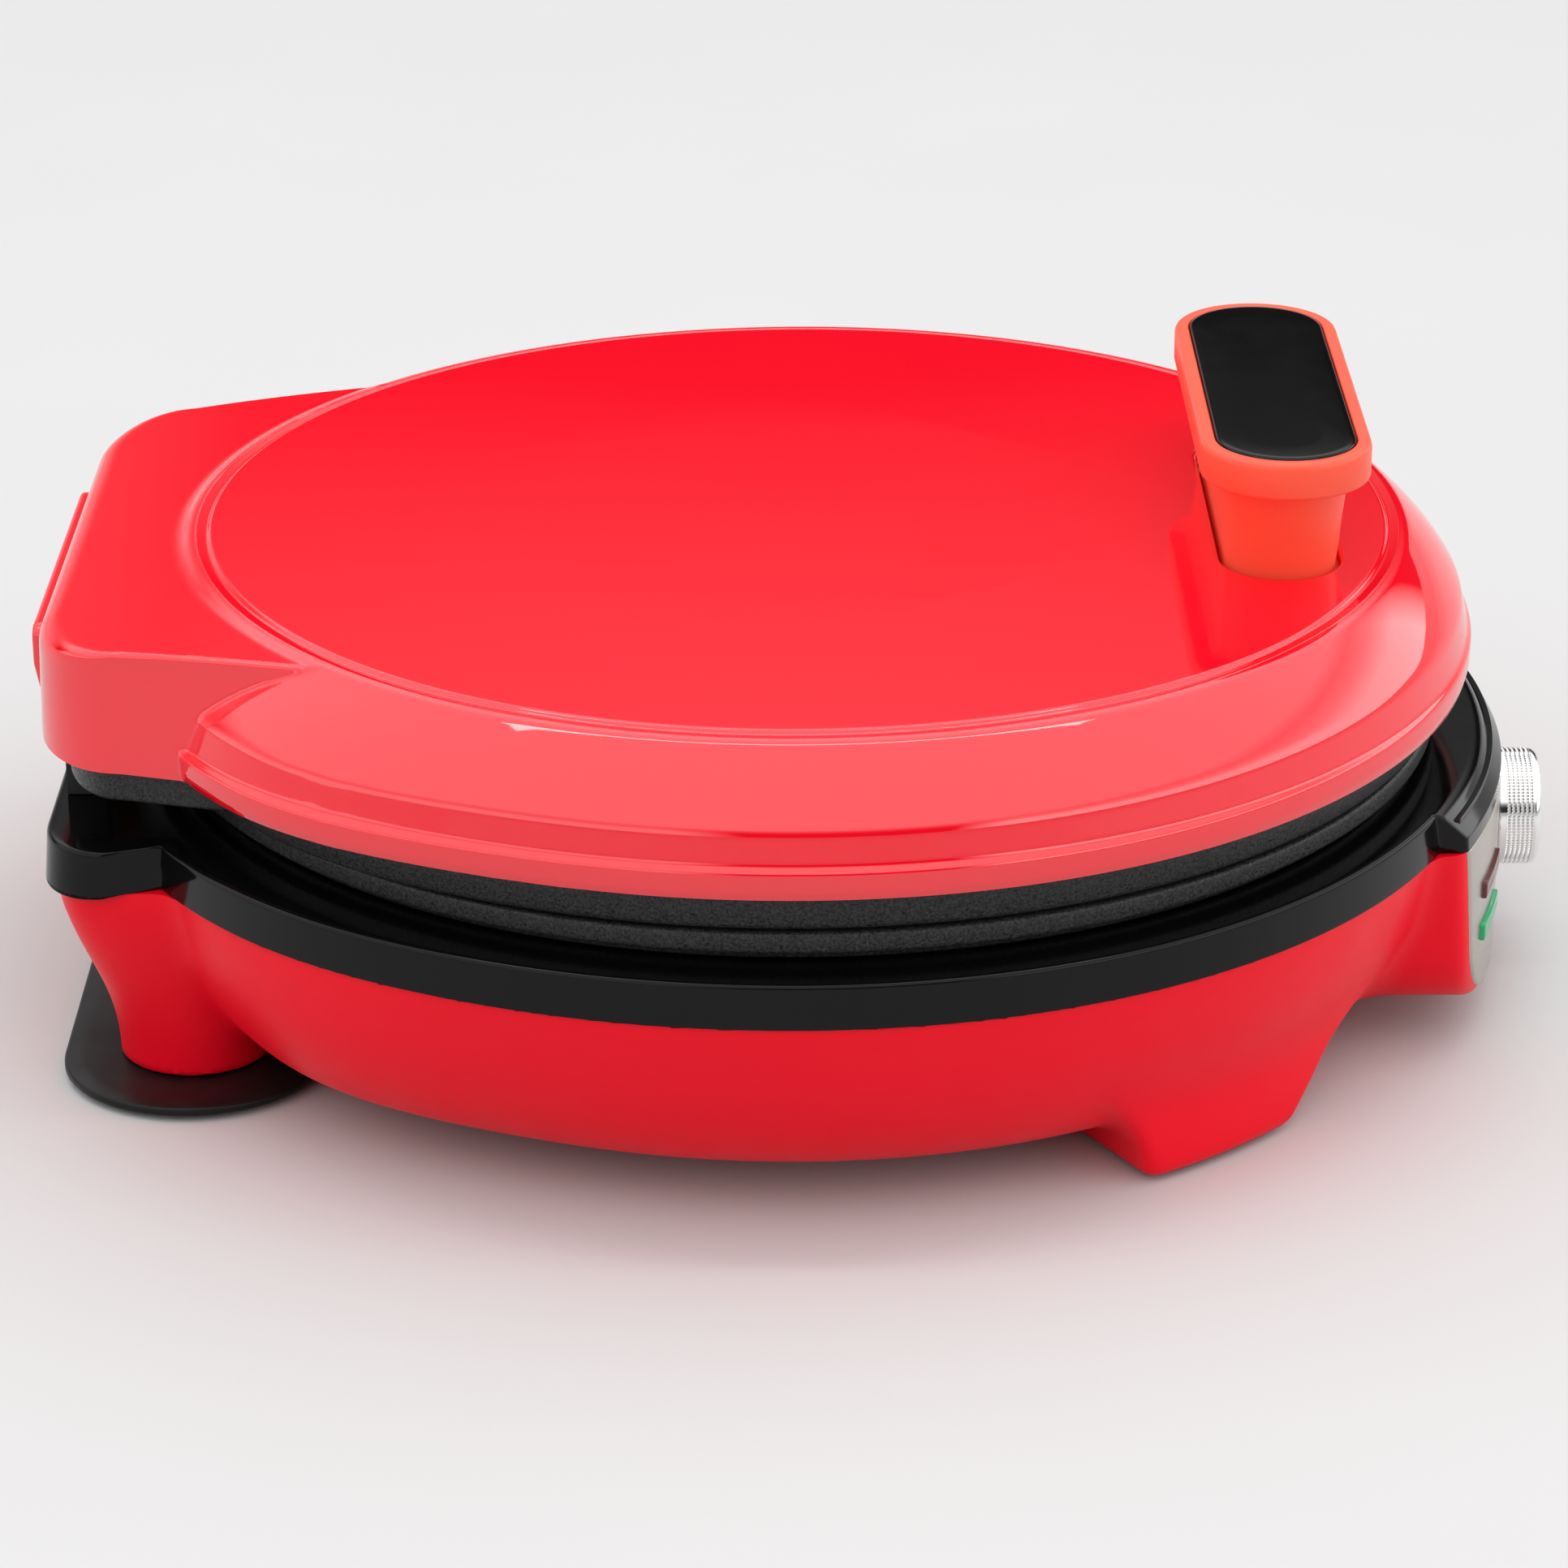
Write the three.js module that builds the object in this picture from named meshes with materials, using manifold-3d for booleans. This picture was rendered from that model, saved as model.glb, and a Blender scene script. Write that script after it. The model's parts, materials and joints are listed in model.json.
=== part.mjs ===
// Electric pizza maker: a round clamshell countertop cooker with two heated plates.
// Millimetres, +Z up, the front at -Y and the hinge at +Y. Heights count from the lower edge of
// the black bezel, and the finished group is lifted onto its feet at the end.
import * as THREE from "three";
import { mergeVertices } from "three/addons/utils/BufferGeometryUtils.js";
import Module from "manifold-3d";

const wasm = await Module();
wasm.setup();

// Overall sizes
const clearance = 0.3; // air between pieces that touch or nest
const shellWall = 2.4; // moulded covers
const cavityRadius = 150.5; // inner edge of the plates' rims, for a 300 mm pizza
const rimWidth = 6.5; // flat sealing rim
const bezelMargin = 11; // rim out to the edge of the bezel, and so of the base
const rimRounding = 0.8;
const upperRimFlare = 3; // the upper plate's side leans out towards the lid
const lidGap = 0.4; // and ends this far from the lid's wall
const lidBeadProud = 1.6; // bead round the lid's lower edge
const rearGrowth = 7.5; // the round body is drawn out a little towards the hinge
const bowlDepth = 48.5; // bezel's lower edge to the base's floor
const bowlLift = 8.7; // table to that floor
const rimRadius = cavityRadius + rimWidth;
const bodyRadius = rimRadius + bezelMargin;
const lidRadius = rimRadius + rimRounding + upperRimFlare + lidGap + shellWall + lidBeadProud;
const rearRadius = bodyRadius + rearGrowth;
const standHeight = bowlLift + bowlDepth;
const wingHalfWidth = 93.8; // block behind the round body that carries the hinge
const wingNeckInset = 5.3; // that block is narrower where it leaves the round body
const wingNeckDepth = 20; // edge of the round body forward to that place
const wingReach = 10; // edge of the round body to the back of that block
const wingNeckHalfWidth = wingHalfWidth - wingNeckInset;
const wingNeckY = bodyRadius - wingNeckDepth;
const wingRear = bodyRadius + wingReach;
const wingCornerLength = 18; // a corner measured along X
const wingCornerDepth = 15; // and along Y
const overrun = 6; // how far a cutting tool passes its face
const roundSides = 56; // facets round the body
const holeSides = 8; // facets round small holes and posts
const screwSides = 8;

// Cooking plates
const plateThickness = 3;
const lowerPanDepth = 12.6; // rim down to the lower cooking face
const upperPanDepth = 11.4; // rim up to the upper cooking face
const plateLift = 2.7; // bezel top to the underside of the lower rim
const lowerRimHeight = 5.1;
const plateGap = 1.2; // air between the two rims
const pitchCircle = 60; // screw bosses on the plates' backs
const plateBossHeight = 11;
const plateBossRadius = 5;

// Bezel
const bezelHeight = 10.6;
const bezelWingLean = 3.8; // sides of the bezel's wing, which lean in towards the top
const bezelTopCorner = 25; // rounding of the wing's corners there
const bezelGap = 1.1; // lower plate's pan to the edge of the opening for it
const lipProud = 6; // front lip over the control panel
const lipOverhang = 3.5; // the lip past each end of the housing below it
const lipEdgeHeight = 4.5; // upright edge of the lip

// Lid
const lidEdgeLift = 10.4; // lower face of the upper rim to the lid's lower edge
const lidWallHeight = 15.6;
const lidChamferRise = 14.8;
const lidChamferRun = 13.6;
const lidCrownRise = 1.8; // shoulder to the middle of the top
const lidChamferBulge = 1.2; // the chamfer is slightly rounded outwards
const lidBeadHeight = 5.6;
const lidWingInset = 2.6; // lid's lower edge inside the bezel's wing, where its corners start
const lidWingFlare = 11; // the neck of the lid's wing outside the bezel's wing
const lidWingNeckDepth = 55.2; // edge of the round lid forward to that neck
const lidWingCornerLength = 36; // a corner measured along X
const lidWingCornerDepth = 22.5; // and along Y
const lidWingOverhang = 0.5; // lid's rear wall past the bezel's
const lidWingLean = 3.2; // the wing's sides lean in towards its top
const lidWingRearLean = 0.6;
const lidWingTopFront = 59; // height of the wing's top at its neck
const lidWingTopRear = 53.6;

// Base
const baseInset = 0.6; // base shell inside the bezel
const housingProud = 5.5; // front face that carries the control panel
const housingHalfTop = 68.5;
const housingHalfBottom = 55;
const housingLift = 1.5; // base's floor up to the housing's lower edge
const panelThickness = 2;

// Hinge
const hingeDrop = 6; // lid's lower edge down to the hinge axis
const hingeInset = 8.5; // lid's rear wall forward to the hinge axis
const hingePinRadius = 2.2;
const hingeEyeRadius = 4.6;
const hingeBracketWidth = 10;
const hingeArmWidth = 7.4;
const hingeArmInset = 53.8; // edge of the bezel's wing to the inner face of each arm
const capOverhang = 9; // the hinge cap past that face

// Handle
const handleInset = 50.2; // edge of the lid to the middle of the handle
const handleHeight = 94; // bezel's lower edge to the top of the grip
const gripHalfLength = 62.5;
const gripHalfWidth = 20.2;
const gripThickness = 9;
const stemHalfLength = 50;
const stemHalfWidth = 13.6;
const stemFlare = 6; // how much longer the stem is at its top
const stemSideFlare = 1.6; // how much wider

// Knob
const knobRadius = 14.6;
const knobLength = 11.3;
const knobDrop = 18.5; // bezel's lower edge down to the knob's axis
const knobShaftRadius = 3;

// Cord storage and feet
const columnMargin = 31.8; // edge of the bezel's wing to the middle of a column, sideways
const columnInset = 32; // back of the wing to the middle of a column
const columnRadius = 18.5;
const cordPlateOverhang = 35; // the cord plate past the middle of a column
const cordPlateRadius = 32;
const cordPlateThickness = 2.2;
const padThickness = 1.2;
const frontFootInset = 13; // edge of the body to a front foot
const frontFootDepth = 36;
const frontFootFrom = 31; // degrees from the side towards the front
const frontFootTo = 48.5;
const frontFootSpread = 8.5; // degrees by which a foot widens up to the bowl

// Screws
const screwRadius = 1.6;
const screwHeadRadius = 3;
const screwHeadHeight = 1.8;
const bossRadius = 4;

// Levels that the sizes above give
const lowerRimBottom = bezelHeight + plateLift;
const lowerRimTop = lowerRimBottom + lowerRimHeight;
const lowerFace = lowerRimTop - lowerPanDepth;
const lowerBack = lowerFace - plateThickness;
const upperRimBottom = lowerRimTop + plateGap;
const upperFace = upperRimBottom + upperPanDepth;
const upperBack = upperFace + plateThickness;
const lidEdge = upperRimBottom + lidEdgeLift;
const lidWallTop = lidEdge + lidWallHeight;
const lidShoulder = lidWallTop + lidChamferRise;
const lidCrown = lidShoulder + lidCrownRise;
const lipRadius = bodyRadius + lipProud;
const lipHalfWidth = housingHalfTop + lipOverhang;
const housingRadius = bodyRadius + housingProud;
const housingDepth = bowlDepth - housingLift;
const lidWingHalfWidth = wingHalfWidth - lidWingInset;
const lidWingNeckHalfWidth = wingHalfWidth + lidWingFlare;
const lidWingNeckY = lidRadius - lidWingNeckDepth;
const lidRear = wingRear + lidWingOverhang;
const handleY = handleInset - lidRadius;
const columnX = wingHalfWidth - columnMargin;
const columnY = wingRear - columnInset;
const cordPlateHalfLength = columnX + cordPlateOverhang;
const frontFootRadius = bodyRadius - frontFootInset;
const hingeArmOffset = wingHalfWidth - hingeArmInset;
const capHalfWidth = hingeArmOffset + capOverhang;
const hingeZ = lidEdge - hingeDrop;
const hingeY = lidRear - hingeInset;
const baseRadius = bodyRadius - baseInset;
const baseTop = -clearance;
const baseFloor = -bowlDepth;
const floorLevel = -standHeight;
const footLevel = floorLevel + padThickness + clearance;

// Materials
function paint(color, roughness, metalness = 0) {
  return new THREE.MeshStandardMaterial({ color, roughness, metalness });
}
const materials = {
  lidRed: paint(0xf01424, 0.12),
  baseRed: paint(0xec2a30, 0.42),
  grip: paint(0xff4a34, 0.5),
  glossBlack: paint(0x0c0c0d, 0.12),
  nonStick: paint(0x232325, 0.55, 0.2),
  satinSilver: paint(0xa89c90, 0.35, 0.8),
  chrome: paint(0xe4e4e6, 0.08, 1),
  redLens: paint(0x5a1612, 0.2),
  greenLens: paint(0x0c9a5a, 0.2),
  steel: paint(0x9a9da2, 0.35, 0.9),
  aluminium: paint(0xc4c6c8, 0.4, 0.9),
  blackPlastic: paint(0x161617, 0.4),
  rubber: paint(0x1c1c1d, 0.85),
  ceramic: paint(0xe6e2d6, 0.7),
  neon: paint(0xffb070, 0.2),
};

const degrees = Math.PI / 180;
const cornerSteps = 6;
const wingFront = 0; // wing blocks start at the middle of the body, inside the round part
const bodyWing = {
  halfWidth: wingHalfWidth,
  neckHalfWidth: wingNeckHalfWidth,
  neckY: wingNeckY,
  rear: wingRear,
  cornerLength: wingCornerLength,
  cornerDepth: wingCornerDepth,
};
const lidWingSize = {
  halfWidth: lidWingHalfWidth,
  neckHalfWidth: lidWingNeckHalfWidth,
  neckY: lidWingNeckY,
  rear: lidRear,
  cornerLength: lidWingCornerLength,
  cornerDepth: lidWingCornerDepth,
};

// Closed solids for cutting and joining
const weldTolerance = 1e-4;

function volumeSign(points, index) {
  const [a, b, c] = [new THREE.Vector3(), new THREE.Vector3(), new THREE.Vector3()];
  let sum = 0;
  for (let i = 0; i < index.length; i += 3) {
    a.fromArray(points, 3 * index[i]);
    b.fromArray(points, 3 * index[i + 1]);
    c.fromArray(points, 3 * index[i + 2]);
    sum += a.dot(b.cross(c));
  }
  return Math.sign(sum);
}

function solid(geometry) {
  const bare = new THREE.BufferGeometry();
  bare.setAttribute("position", geometry.getAttribute("position").clone());
  if (geometry.index) bare.setIndex(geometry.index.clone());
  const welded = mergeVertices(bare, weldTolerance);
  const points = new Float32Array(welded.getAttribute("position").array);
  const corners = welded.index.array;
  const kept = [];
  for (let i = 0; i < corners.length; i += 3) {
    const [a, b, c] = corners.slice(i, i + 3);
    if (a !== b && b !== c && c !== a) kept.push(a, b, c);
  }
  if (volumeSign(points, kept) < 0) kept.reverse();
  const mesh = new wasm.Mesh({ numProp: 3, vertProperties: points, triVerts: new Uint32Array(kept) });
  return new wasm.Manifold(mesh);
}

function join(...solids) {
  return solids.reduce((whole, next) => whole.add(next));
}

function cut(body, ...tools) {
  return tools.reduce((left, tool) => left.subtract(tool), body);
}

function common(a, b) {
  return a.intersect(b);
}

// Shapes
function lathe(profile, sides = roundSides) {
  const points = profile.map(([radius, height]) => new THREE.Vector2(radius, height));
  const onAxis = profile[0][0] === 0 && profile[profile.length - 1][0] === 0;
  if (!onAxis) points.push(points[0].clone());
  return new THREE.LatheGeometry(points, sides).rotateX(Math.PI / 2);
}

function disc(radius, low, high, sides = roundSides) {
  return lathe([[0, low], [radius, low], [radius, high], [0, high]], sides);
}

function ring(inner, outer, low, high, sides = roundSides) {
  return lathe([[inner, low], [outer, low], [outer, high], [inner, high]], sides);
}

function block(x0, x1, y0, y1, z0, z1) {
  const box = new THREE.BoxGeometry(x1 - x0, y1 - y0, z1 - z0);
  return box.translate((x0 + x1) / 2, (y0 + y1) / 2, (z0 + z1) / 2);
}

function post(radius, x, y, low, high, sides = holeSides) {
  return disc(radius, low, high, sides).translate(x, y, 0);
}

function posts(places, radius, low, high) {
  return places.map(([x, y]) => solid(post(radius, x, y, low, high)));
}

function rodAlongX(radius, x0, x1, y, z, sides = holeSides) {
  return disc(radius, x0, x1, sides).rotateY(Math.PI / 2).translate(0, y, z);
}

function rodAlongY(radius, x, y0, y1, z, sides = holeSides) {
  return disc(radius, y0, y1, sides).rotateX(-Math.PI / 2).translate(x, 0, z);
}

function loft(rings) {
  const positions = [];
  const index = [];
  const count = rings[0].length;
  rings.forEach((points) => points.forEach((p) => positions.push(p.x, p.y, p.z)));
  for (let level = 0; level + 1 < rings.length; level++) {
    for (let i = 0; i < count; i++) {
      const a = level * count + i;
      const b = level * count + ((i + 1) % count);
      index.push(a, b, b + count, a, b + count, a + count);
    }
  }
  const cap = (points, start, flip) => {
    const flat = points.map((p) => new THREE.Vector2(p.x, p.y));
    for (const [a, b, c] of THREE.ShapeUtils.triangulateShape(flat, [])) {
      index.push(start + a, start + (flip ? c : b), start + (flip ? b : c));
    }
  };
  cap(rings[0], 0, true);
  cap(rings[rings.length - 1], (rings.length - 1) * count, false);
  const geometry = new THREE.BufferGeometry();
  geometry.setAttribute("position", new THREE.Float32BufferAttribute(positions, 3));
  geometry.setIndex(index);
  return geometry;
}

function prism(outline, low, high) {
  return loft([low, high].map((z) => outline.map((p) => new THREE.Vector3(p.x, p.y, z))));
}

// An outline in X and Z, carried along Y
function frontPrism(outline, y0, y1) {
  return prism(outline, -y1, -y0).rotateX(Math.PI / 2);
}

// An outline in Y and Z, carried along X on both sides of the middle
function sidePrism(outline, halfWidth) {
  return prism(outline, -halfWidth, halfWidth).rotateZ(Math.PI / 2).rotateY(Math.PI / 2);
}

function tube(points, radius, steps, sides, tension = 0.5) {
  const places = points.map((p) => new THREE.Vector3(...p));
  const path = new THREE.CatmullRomCurve3(places, false, "catmullrom", tension);
  const lastAngle = (2 * Math.PI * (sides - 1)) / sides;
  const section = new THREE.Shape(arc(0, 0, radius, 0, lastAngle, sides - 1));
  const options = { steps, extrudePath: path, bevelEnabled: false };
  return new THREE.ExtrudeGeometry(section, options);
}

// Outlines
function arc(cx, cy, radius, from, to, steps) {
  return Array.from({ length: steps + 1 }, (_, i) => {
    const angle = from + ((to - from) * i) / steps;
    return new THREE.Vector2(cx + radius * Math.cos(angle), cy + radius * Math.sin(angle));
  });
}

// Block with a neck at the round body and two rounded rear corners
function wingOutline(wing, inset, rearInset = inset) {
  const neck = wing.neckHalfWidth - inset;
  const length = Math.max(wing.cornerLength - inset, wing.cornerLength / 4);
  const depth = Math.max(wing.cornerDepth - rearInset, wing.cornerDepth / 4);
  const [x, y] = [wing.halfWidth - inset - length, wing.rear - rearInset - depth];
  const corner = arc(0, 0, 1, 0, Math.PI / 2, cornerSteps);
  return [
    new THREE.Vector2(-neck, wingFront),
    new THREE.Vector2(neck, wingFront),
    new THREE.Vector2(neck, wing.neckY),
    ...corner.map((p) => new THREE.Vector2(x + length * p.x, y + depth * p.y)),
    ...corner.reverse().map((p) => new THREE.Vector2(-x - length * p.x, y + depth * p.y)),
    new THREE.Vector2(-neck, wing.neckY),
  ];
}

function stadium(halfLength, halfWidth, steps = 8) {
  const x = halfLength - halfWidth;
  return [
    ...arc(x, 0, halfWidth, -Math.PI / 2, Math.PI / 2, steps),
    ...arc(-x, 0, halfWidth, Math.PI / 2, 1.5 * Math.PI, steps),
  ];
}

function at(outline, z) {
  return outline.map((p) => new THREE.Vector3(p.x, p.y, z));
}

function moved(outline, x, y) {
  return outline.map((p) => new THREE.Vector2(p.x + x, p.y + y));
}

function onCircle(radius, angle) {
  return [radius * Math.cos(angle * degrees), radius * Math.sin(angle * degrees)];
}

// Round covers keep their circle in front and at the top, and grow towards the hinge at their edge
function drawnOut(geometry, from = cavityRadius) {
  const position = geometry.getAttribute("position");
  for (let i = 0; i < position.count; i++) {
    const [x, y] = [position.getX(i), position.getY(i)];
    const edgeShare = (Math.hypot(x, y) - from) / (bodyRadius - from);
    const growth = (rearRadius / bodyRadius - 1) * THREE.MathUtils.clamp(edgeShare, 0, 1);
    if (y > 0) position.setY(i, y * (1 + growth));
  }
  return geometry;
}

// Lid shell: round top with groove and chamfer, a wing over the hinge, a well for the handle
const lidGrooveInset = 5.4; // shoulder in to the groove
const lidGrooveWidth = 1.6;
const lidGrooveDepth = 0.9;
const lidSoftening = 1.5; // rounding of the shoulder and of the wing's edges
const lidWallLean = 0.9;
const lidEdgeTuck = 0.5;
const lidDiscDrop = 0.8; // middle of the top down to the groove
const wellDepth = 4;
const wellMargin = 0.9; // dark gap round the stem
const lidScrewMargin = 21.8; // edge of the bezel's wing to a lid screw, sideways
const lidScrewX = wingHalfWidth - lidScrewMargin;
const lidScrewInset = 28.5; // lid's rear wall to a lid screw
const lidScrewY = lidRear - lidScrewInset;
const lidScrewPlaces = [[-lidScrewX, lidScrewY], [lidScrewX, lidScrewY]];
const coverPostAngles = [30, 150, 270]; // posts that bear on the reflector

const lidWallRadius = lidRadius - lidBeadProud;
const lidWallTopRadius = lidWallRadius - lidWallLean;
const lidShoulderRadius = lidWallTopRadius - lidChamferRun;
const lidDiscRadius = lidShoulderRadius - lidGrooveInset;
const lidInnerTop = lidShoulder - shellWall;
const wellFloor = lidCrown - lidDiscDrop - wellDepth;
const wellUnderside = wellFloor - shellWall;

function lidWingTop(y) {
  const share = THREE.MathUtils.clamp((y - lidWingNeckY) / (lidRear - lidWingNeckY), 0, 1);
  return THREE.MathUtils.lerp(lidWingTopFront, lidWingTopRear, share);
}

function lidWing(inset, low) {
  const [lean, rearLean] = [inset + lidWingLean, inset + lidWingRearLean];
  const side = wingOutline(lidWingSize, lean, rearLean);
  const top = wingOutline(lidWingSize, lean + lidSoftening, rearLean + lidSoftening);
  const slope = (outline, down) => outline.map((p) => new THREE.Vector3(p.x, p.y, lidWingTop(p.y) - down));
  return loft([
    at(wingOutline(lidWingSize, inset), low),
    slope(side, inset + lidSoftening),
    slope(top, inset),
  ]);
}

function lidRound() {
  const chamferMiddle = (lidShoulderRadius + lidWallTopRadius) / 2 + lidChamferBulge;
  return drawnOut(lathe([
    [0, lidCrown],
    [lidDiscRadius / 2, lidCrown - lidDiscDrop / 4],
    [lidDiscRadius, lidCrown - lidDiscDrop],
    [lidDiscRadius + lidGrooveWidth / 2, lidCrown - lidDiscDrop - lidGrooveDepth],
    [lidDiscRadius + lidGrooveWidth, lidCrown - lidDiscDrop - lidGrooveDepth / 3],
    [lidShoulderRadius - lidSoftening, lidShoulder + lidSoftening / 4],
    [lidShoulderRadius + lidSoftening, lidShoulder - lidSoftening],
    [chamferMiddle, (lidShoulder + lidWallTop) / 2 + lidChamferBulge],
    [lidWallTopRadius - lidSoftening, lidWallTop + lidSoftening],
    [lidWallTopRadius, lidWallTop - lidSoftening],
    [lidWallRadius, lidEdge + lidBeadHeight + lidBeadProud],
    [lidRadius, lidEdge + lidBeadHeight],
    [lidRadius, lidEdge + lidBeadHeight / 2],
    [lidRadius - lidEdgeTuck, lidEdge],
    [0, lidEdge],
  ]));
}

function lidCavity() {
  const round = drawnOut(lathe([
    [0, lidInnerTop],
    [lidShoulderRadius - lidSoftening, lidInnerTop],
    [lidWallTopRadius - shellWall, lidWallTop - shellWall / 2],
    [lidWallRadius - shellWall, lidEdge + lidBeadHeight],
    [lidWallRadius - shellWall, lidEdge - overrun],
    [0, lidEdge - overrun],
  ]));
  return join(solid(round), solid(lidWing(shellWall, lidEdge - overrun)));
}

function lidShell() {
  const stemOutline = (margin) =>
    moved(stadium(stemHalfLength + margin, stemHalfWidth + margin), 0, handleY);
  const top = lidInnerTop + shellWall / 2;
  const wellBoss = prism(stemOutline(wellMargin + shellWall), wellUnderside, top);
  const well = prism(stemOutline(wellMargin), wellFloor, lidCrown + overrun);
  const screwBosses = posts(lidScrewPlaces, bossRadius, plateWingTop + clearance, lidWingTopRear);
  const coverPosts = posts(coverPostPlaces, bossRadius, upperReflectorTop + clearance, top);
  const outer = join(solid(lidRound()), solid(lidWing(0, lidEdge)));
  const inner = cut(lidCavity(), solid(wellBoss), ...screwBosses, ...coverPosts);
  const screwHoles = posts(lidScrewPlaces, screwRadius + clearance, lidEdge - overrun, lidScrewTip);
  const [holeLow, holeHigh] = [wellUnderside - overrun, wellFloor + overrun];
  const handleHoles = posts(handleScrewPlaces, screwRadius + clearance, holeLow, holeHigh);
  return cut(outer, inner, solid(well), ...screwHoles, ...handleHoles, ...capScrewHoles(clearance));
}

// Cooking plates: cast dishes with sealing rims; the upper one also lines the lid's wing
const plateSkin = 2.4; // casting round the rims
const upperWingInset = 4.5; // plate wing inside the lid wing
const upperWingLean = 2; // and further in at its lower edge
const panDraft = 3; // cooking face to the rim, sideways
const pocketMargin = 2;
const bayMargin = 2.5; // air beside the hinge brackets

const upperRimOuter = rimRadius + rimRounding;
const upperPlateTopRadius = upperRimOuter + upperRimFlare;
const plateWingTop = lidEdge + rimRounding;
const lidScrewGrip = 11; // thread of a lid screw in its boss
const lidScrewTip = plateWingTop + lidScrewGrip + clearance;
const bayHalfWidth = hingeArmOffset + hingeArmWidth + clearance + hingeBracketWidth + bayMargin;
const plateScrewAngles = [90, 210, 330];
const plateScrewPlaces = plateScrewAngles.map((angle) => onCircle(pitchCircle, angle));
const upperBossTop = upperBack + plateBossHeight;
const lowerBossBottom = lowerBack - plateBossHeight;

function upperPlate() {
  const round = lathe([
    [0, upperFace],
    [cavityRadius - panDraft, upperFace],
    [cavityRadius, upperRimBottom],
    [rimRadius, upperRimBottom],
    [upperRimOuter, upperRimBottom + rimRounding],
    [upperPlateTopRadius, plateWingTop],
    [upperPlateTopRadius - plateSkin, plateWingTop],
    [rimRadius - rimRounding, upperRimBottom + plateSkin],
    [cavityRadius + plateSkin, upperRimBottom + plateSkin],
    [cavityRadius - panDraft + plateSkin, upperBack],
    [0, upperBack],
  ]);
  const wingLow = upperRimBottom + rimRounding;
  const wing = loft([
    at(wingOutline(lidWingSize, upperWingInset + upperWingLean), wingLow),
    at(wingOutline(lidWingSize, upperWingInset), plateWingTop),
  ]);
  const pocketOutline = wingOutline(lidWingSize, upperWingInset + upperWingLean + plateSkin);
  const pocket = prism(pocketOutline, wingLow + plateSkin, plateWingTop + overrun);
  const [low, high] = [upperRimBottom - overrun, plateWingTop + overrun];
  const keepRound = disc(rimRadius - rimRounding, low, high);
  const bayFront = upperPlateTopRadius + pocketMargin;
  const bay = block(-bayHalfWidth, bayHalfWidth, bayFront, lidRear, low, high);
  const rimInside = upperPlateTopRadius - plateSkin;
  const keepRimInside = ring(rimRadius - overrun, rimInside, wingLow + plateSkin, high);
  const trimmed = cut(solid(wing), solid(keepRound), solid(pocket), solid(bay), solid(keepRimInside));
  const holes = posts(lidScrewPlaces, screwRadius + clearance, 0, high);
  const bosses = posts(plateScrewPlaces, plateBossRadius, upperBack - plateThickness / 2, upperBossTop);
  const pilotTop = upperBossTop + overrun;
  const pilots = posts(plateScrewPlaces, screwRadius + clearance, upperBack + clearance, pilotTop);
  return cut(join(solid(round), trimmed, ...bosses), ...holes, ...pilots);
}

function lowerPlate() {
  const seatOuter = cavityRadius + rimWidth / 2;
  const seat = bezelHeight + clearance;
  const round = lathe([
    [0, lowerBack],
    [cavityRadius - panDraft, lowerBack],
    [cavityRadius, seat],
    [seatOuter, seat],
    [seatOuter, lowerRimBottom],
    [rimRadius - rimRounding, lowerRimBottom],
    [rimRadius, lowerRimBottom + rimRounding],
    [rimRadius, lowerRimTop - rimRounding],
    [rimRadius - rimRounding, lowerRimTop],
    [cavityRadius - rimRounding, lowerRimTop],
    [cavityRadius - panDraft - rimRounding, lowerFace + rimRounding],
    [cavityRadius - panDraft - plateSkin, lowerFace],
    [0, lowerFace],
  ]);
  const bosses = posts(plateScrewPlaces, plateBossRadius, lowerBossBottom, lowerBack + plateThickness / 2);
  const drilled = [lowerBossBottom - overrun, lowerBack - clearance];
  const pilots = posts(plateScrewPlaces, screwRadius + clearance, ...drilled);
  return cut(join(solid(round), ...bosses), ...pilots);
}

// Heating elements and their reflectors
const elementInset = 45.5; // rim to the element's ring
const elementRadius = cavityRadius - elementInset;
const elementTube = 3.2;
const elementGap = 11; // degrees each side of the rear between the element's ends
const elementTail = 16; // straight end that turns in to the terminals
const terminalRadius = 1.3;
const terminalLength = 9;
const reflectorThickness = 1;
const reflectorSides = 40;
const reflectorMargin = 13; // element's ring out to the reflector's lip
const reflectorRadius = elementRadius + reflectorMargin;
const reflectorLip = 8;
const reflectorPostInset = 21; // element's ring in to the posts that bear on the reflectors
const reflectorPostRadius = elementRadius - reflectorPostInset;
const elementSteps = 38;
const elementSides = 6;
const lowerReflectorTop = lowerBossBottom - clearance;
const lowerReflectorUnderside = lowerReflectorTop - reflectorThickness;
const upperReflectorUnderside = upperBossTop + clearance;
const upperReflectorTop = upperReflectorUnderside + reflectorThickness;
const coverPostPlaces = coverPostAngles.map((angle) => onCircle(reflectorPostRadius, angle));

function heatingElement(z) {
  const steps = 16;
  const points = [];
  const [from, to] = [90 + elementGap, 450 - elementGap];
  const inner = elementRadius - elementTail;
  const tailShare = elementRadius / inner;
  const tail = (angle) => {
    const [x, y] = onCircle(inner, angle);
    return [x * tailShare, y, z];
  };
  points.push(tail(from));
  for (let i = 0; i <= steps; i++) {
    const [x, y] = onCircle(elementRadius, from + ((to - from) * i) / steps);
    points.push([x, y, z]);
  }
  points.push(tail(to));
  const pins = [from, to].map((angle) => {
    const [x, y] = tail(angle);
    const inset = elementTube / 2;
    return solid(rodAlongY(terminalRadius, x, y - terminalLength, y + inset, z));
  });
  return join(solid(tube(points, elementTube, elementSteps, elementSides)), ...pins);
}

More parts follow.
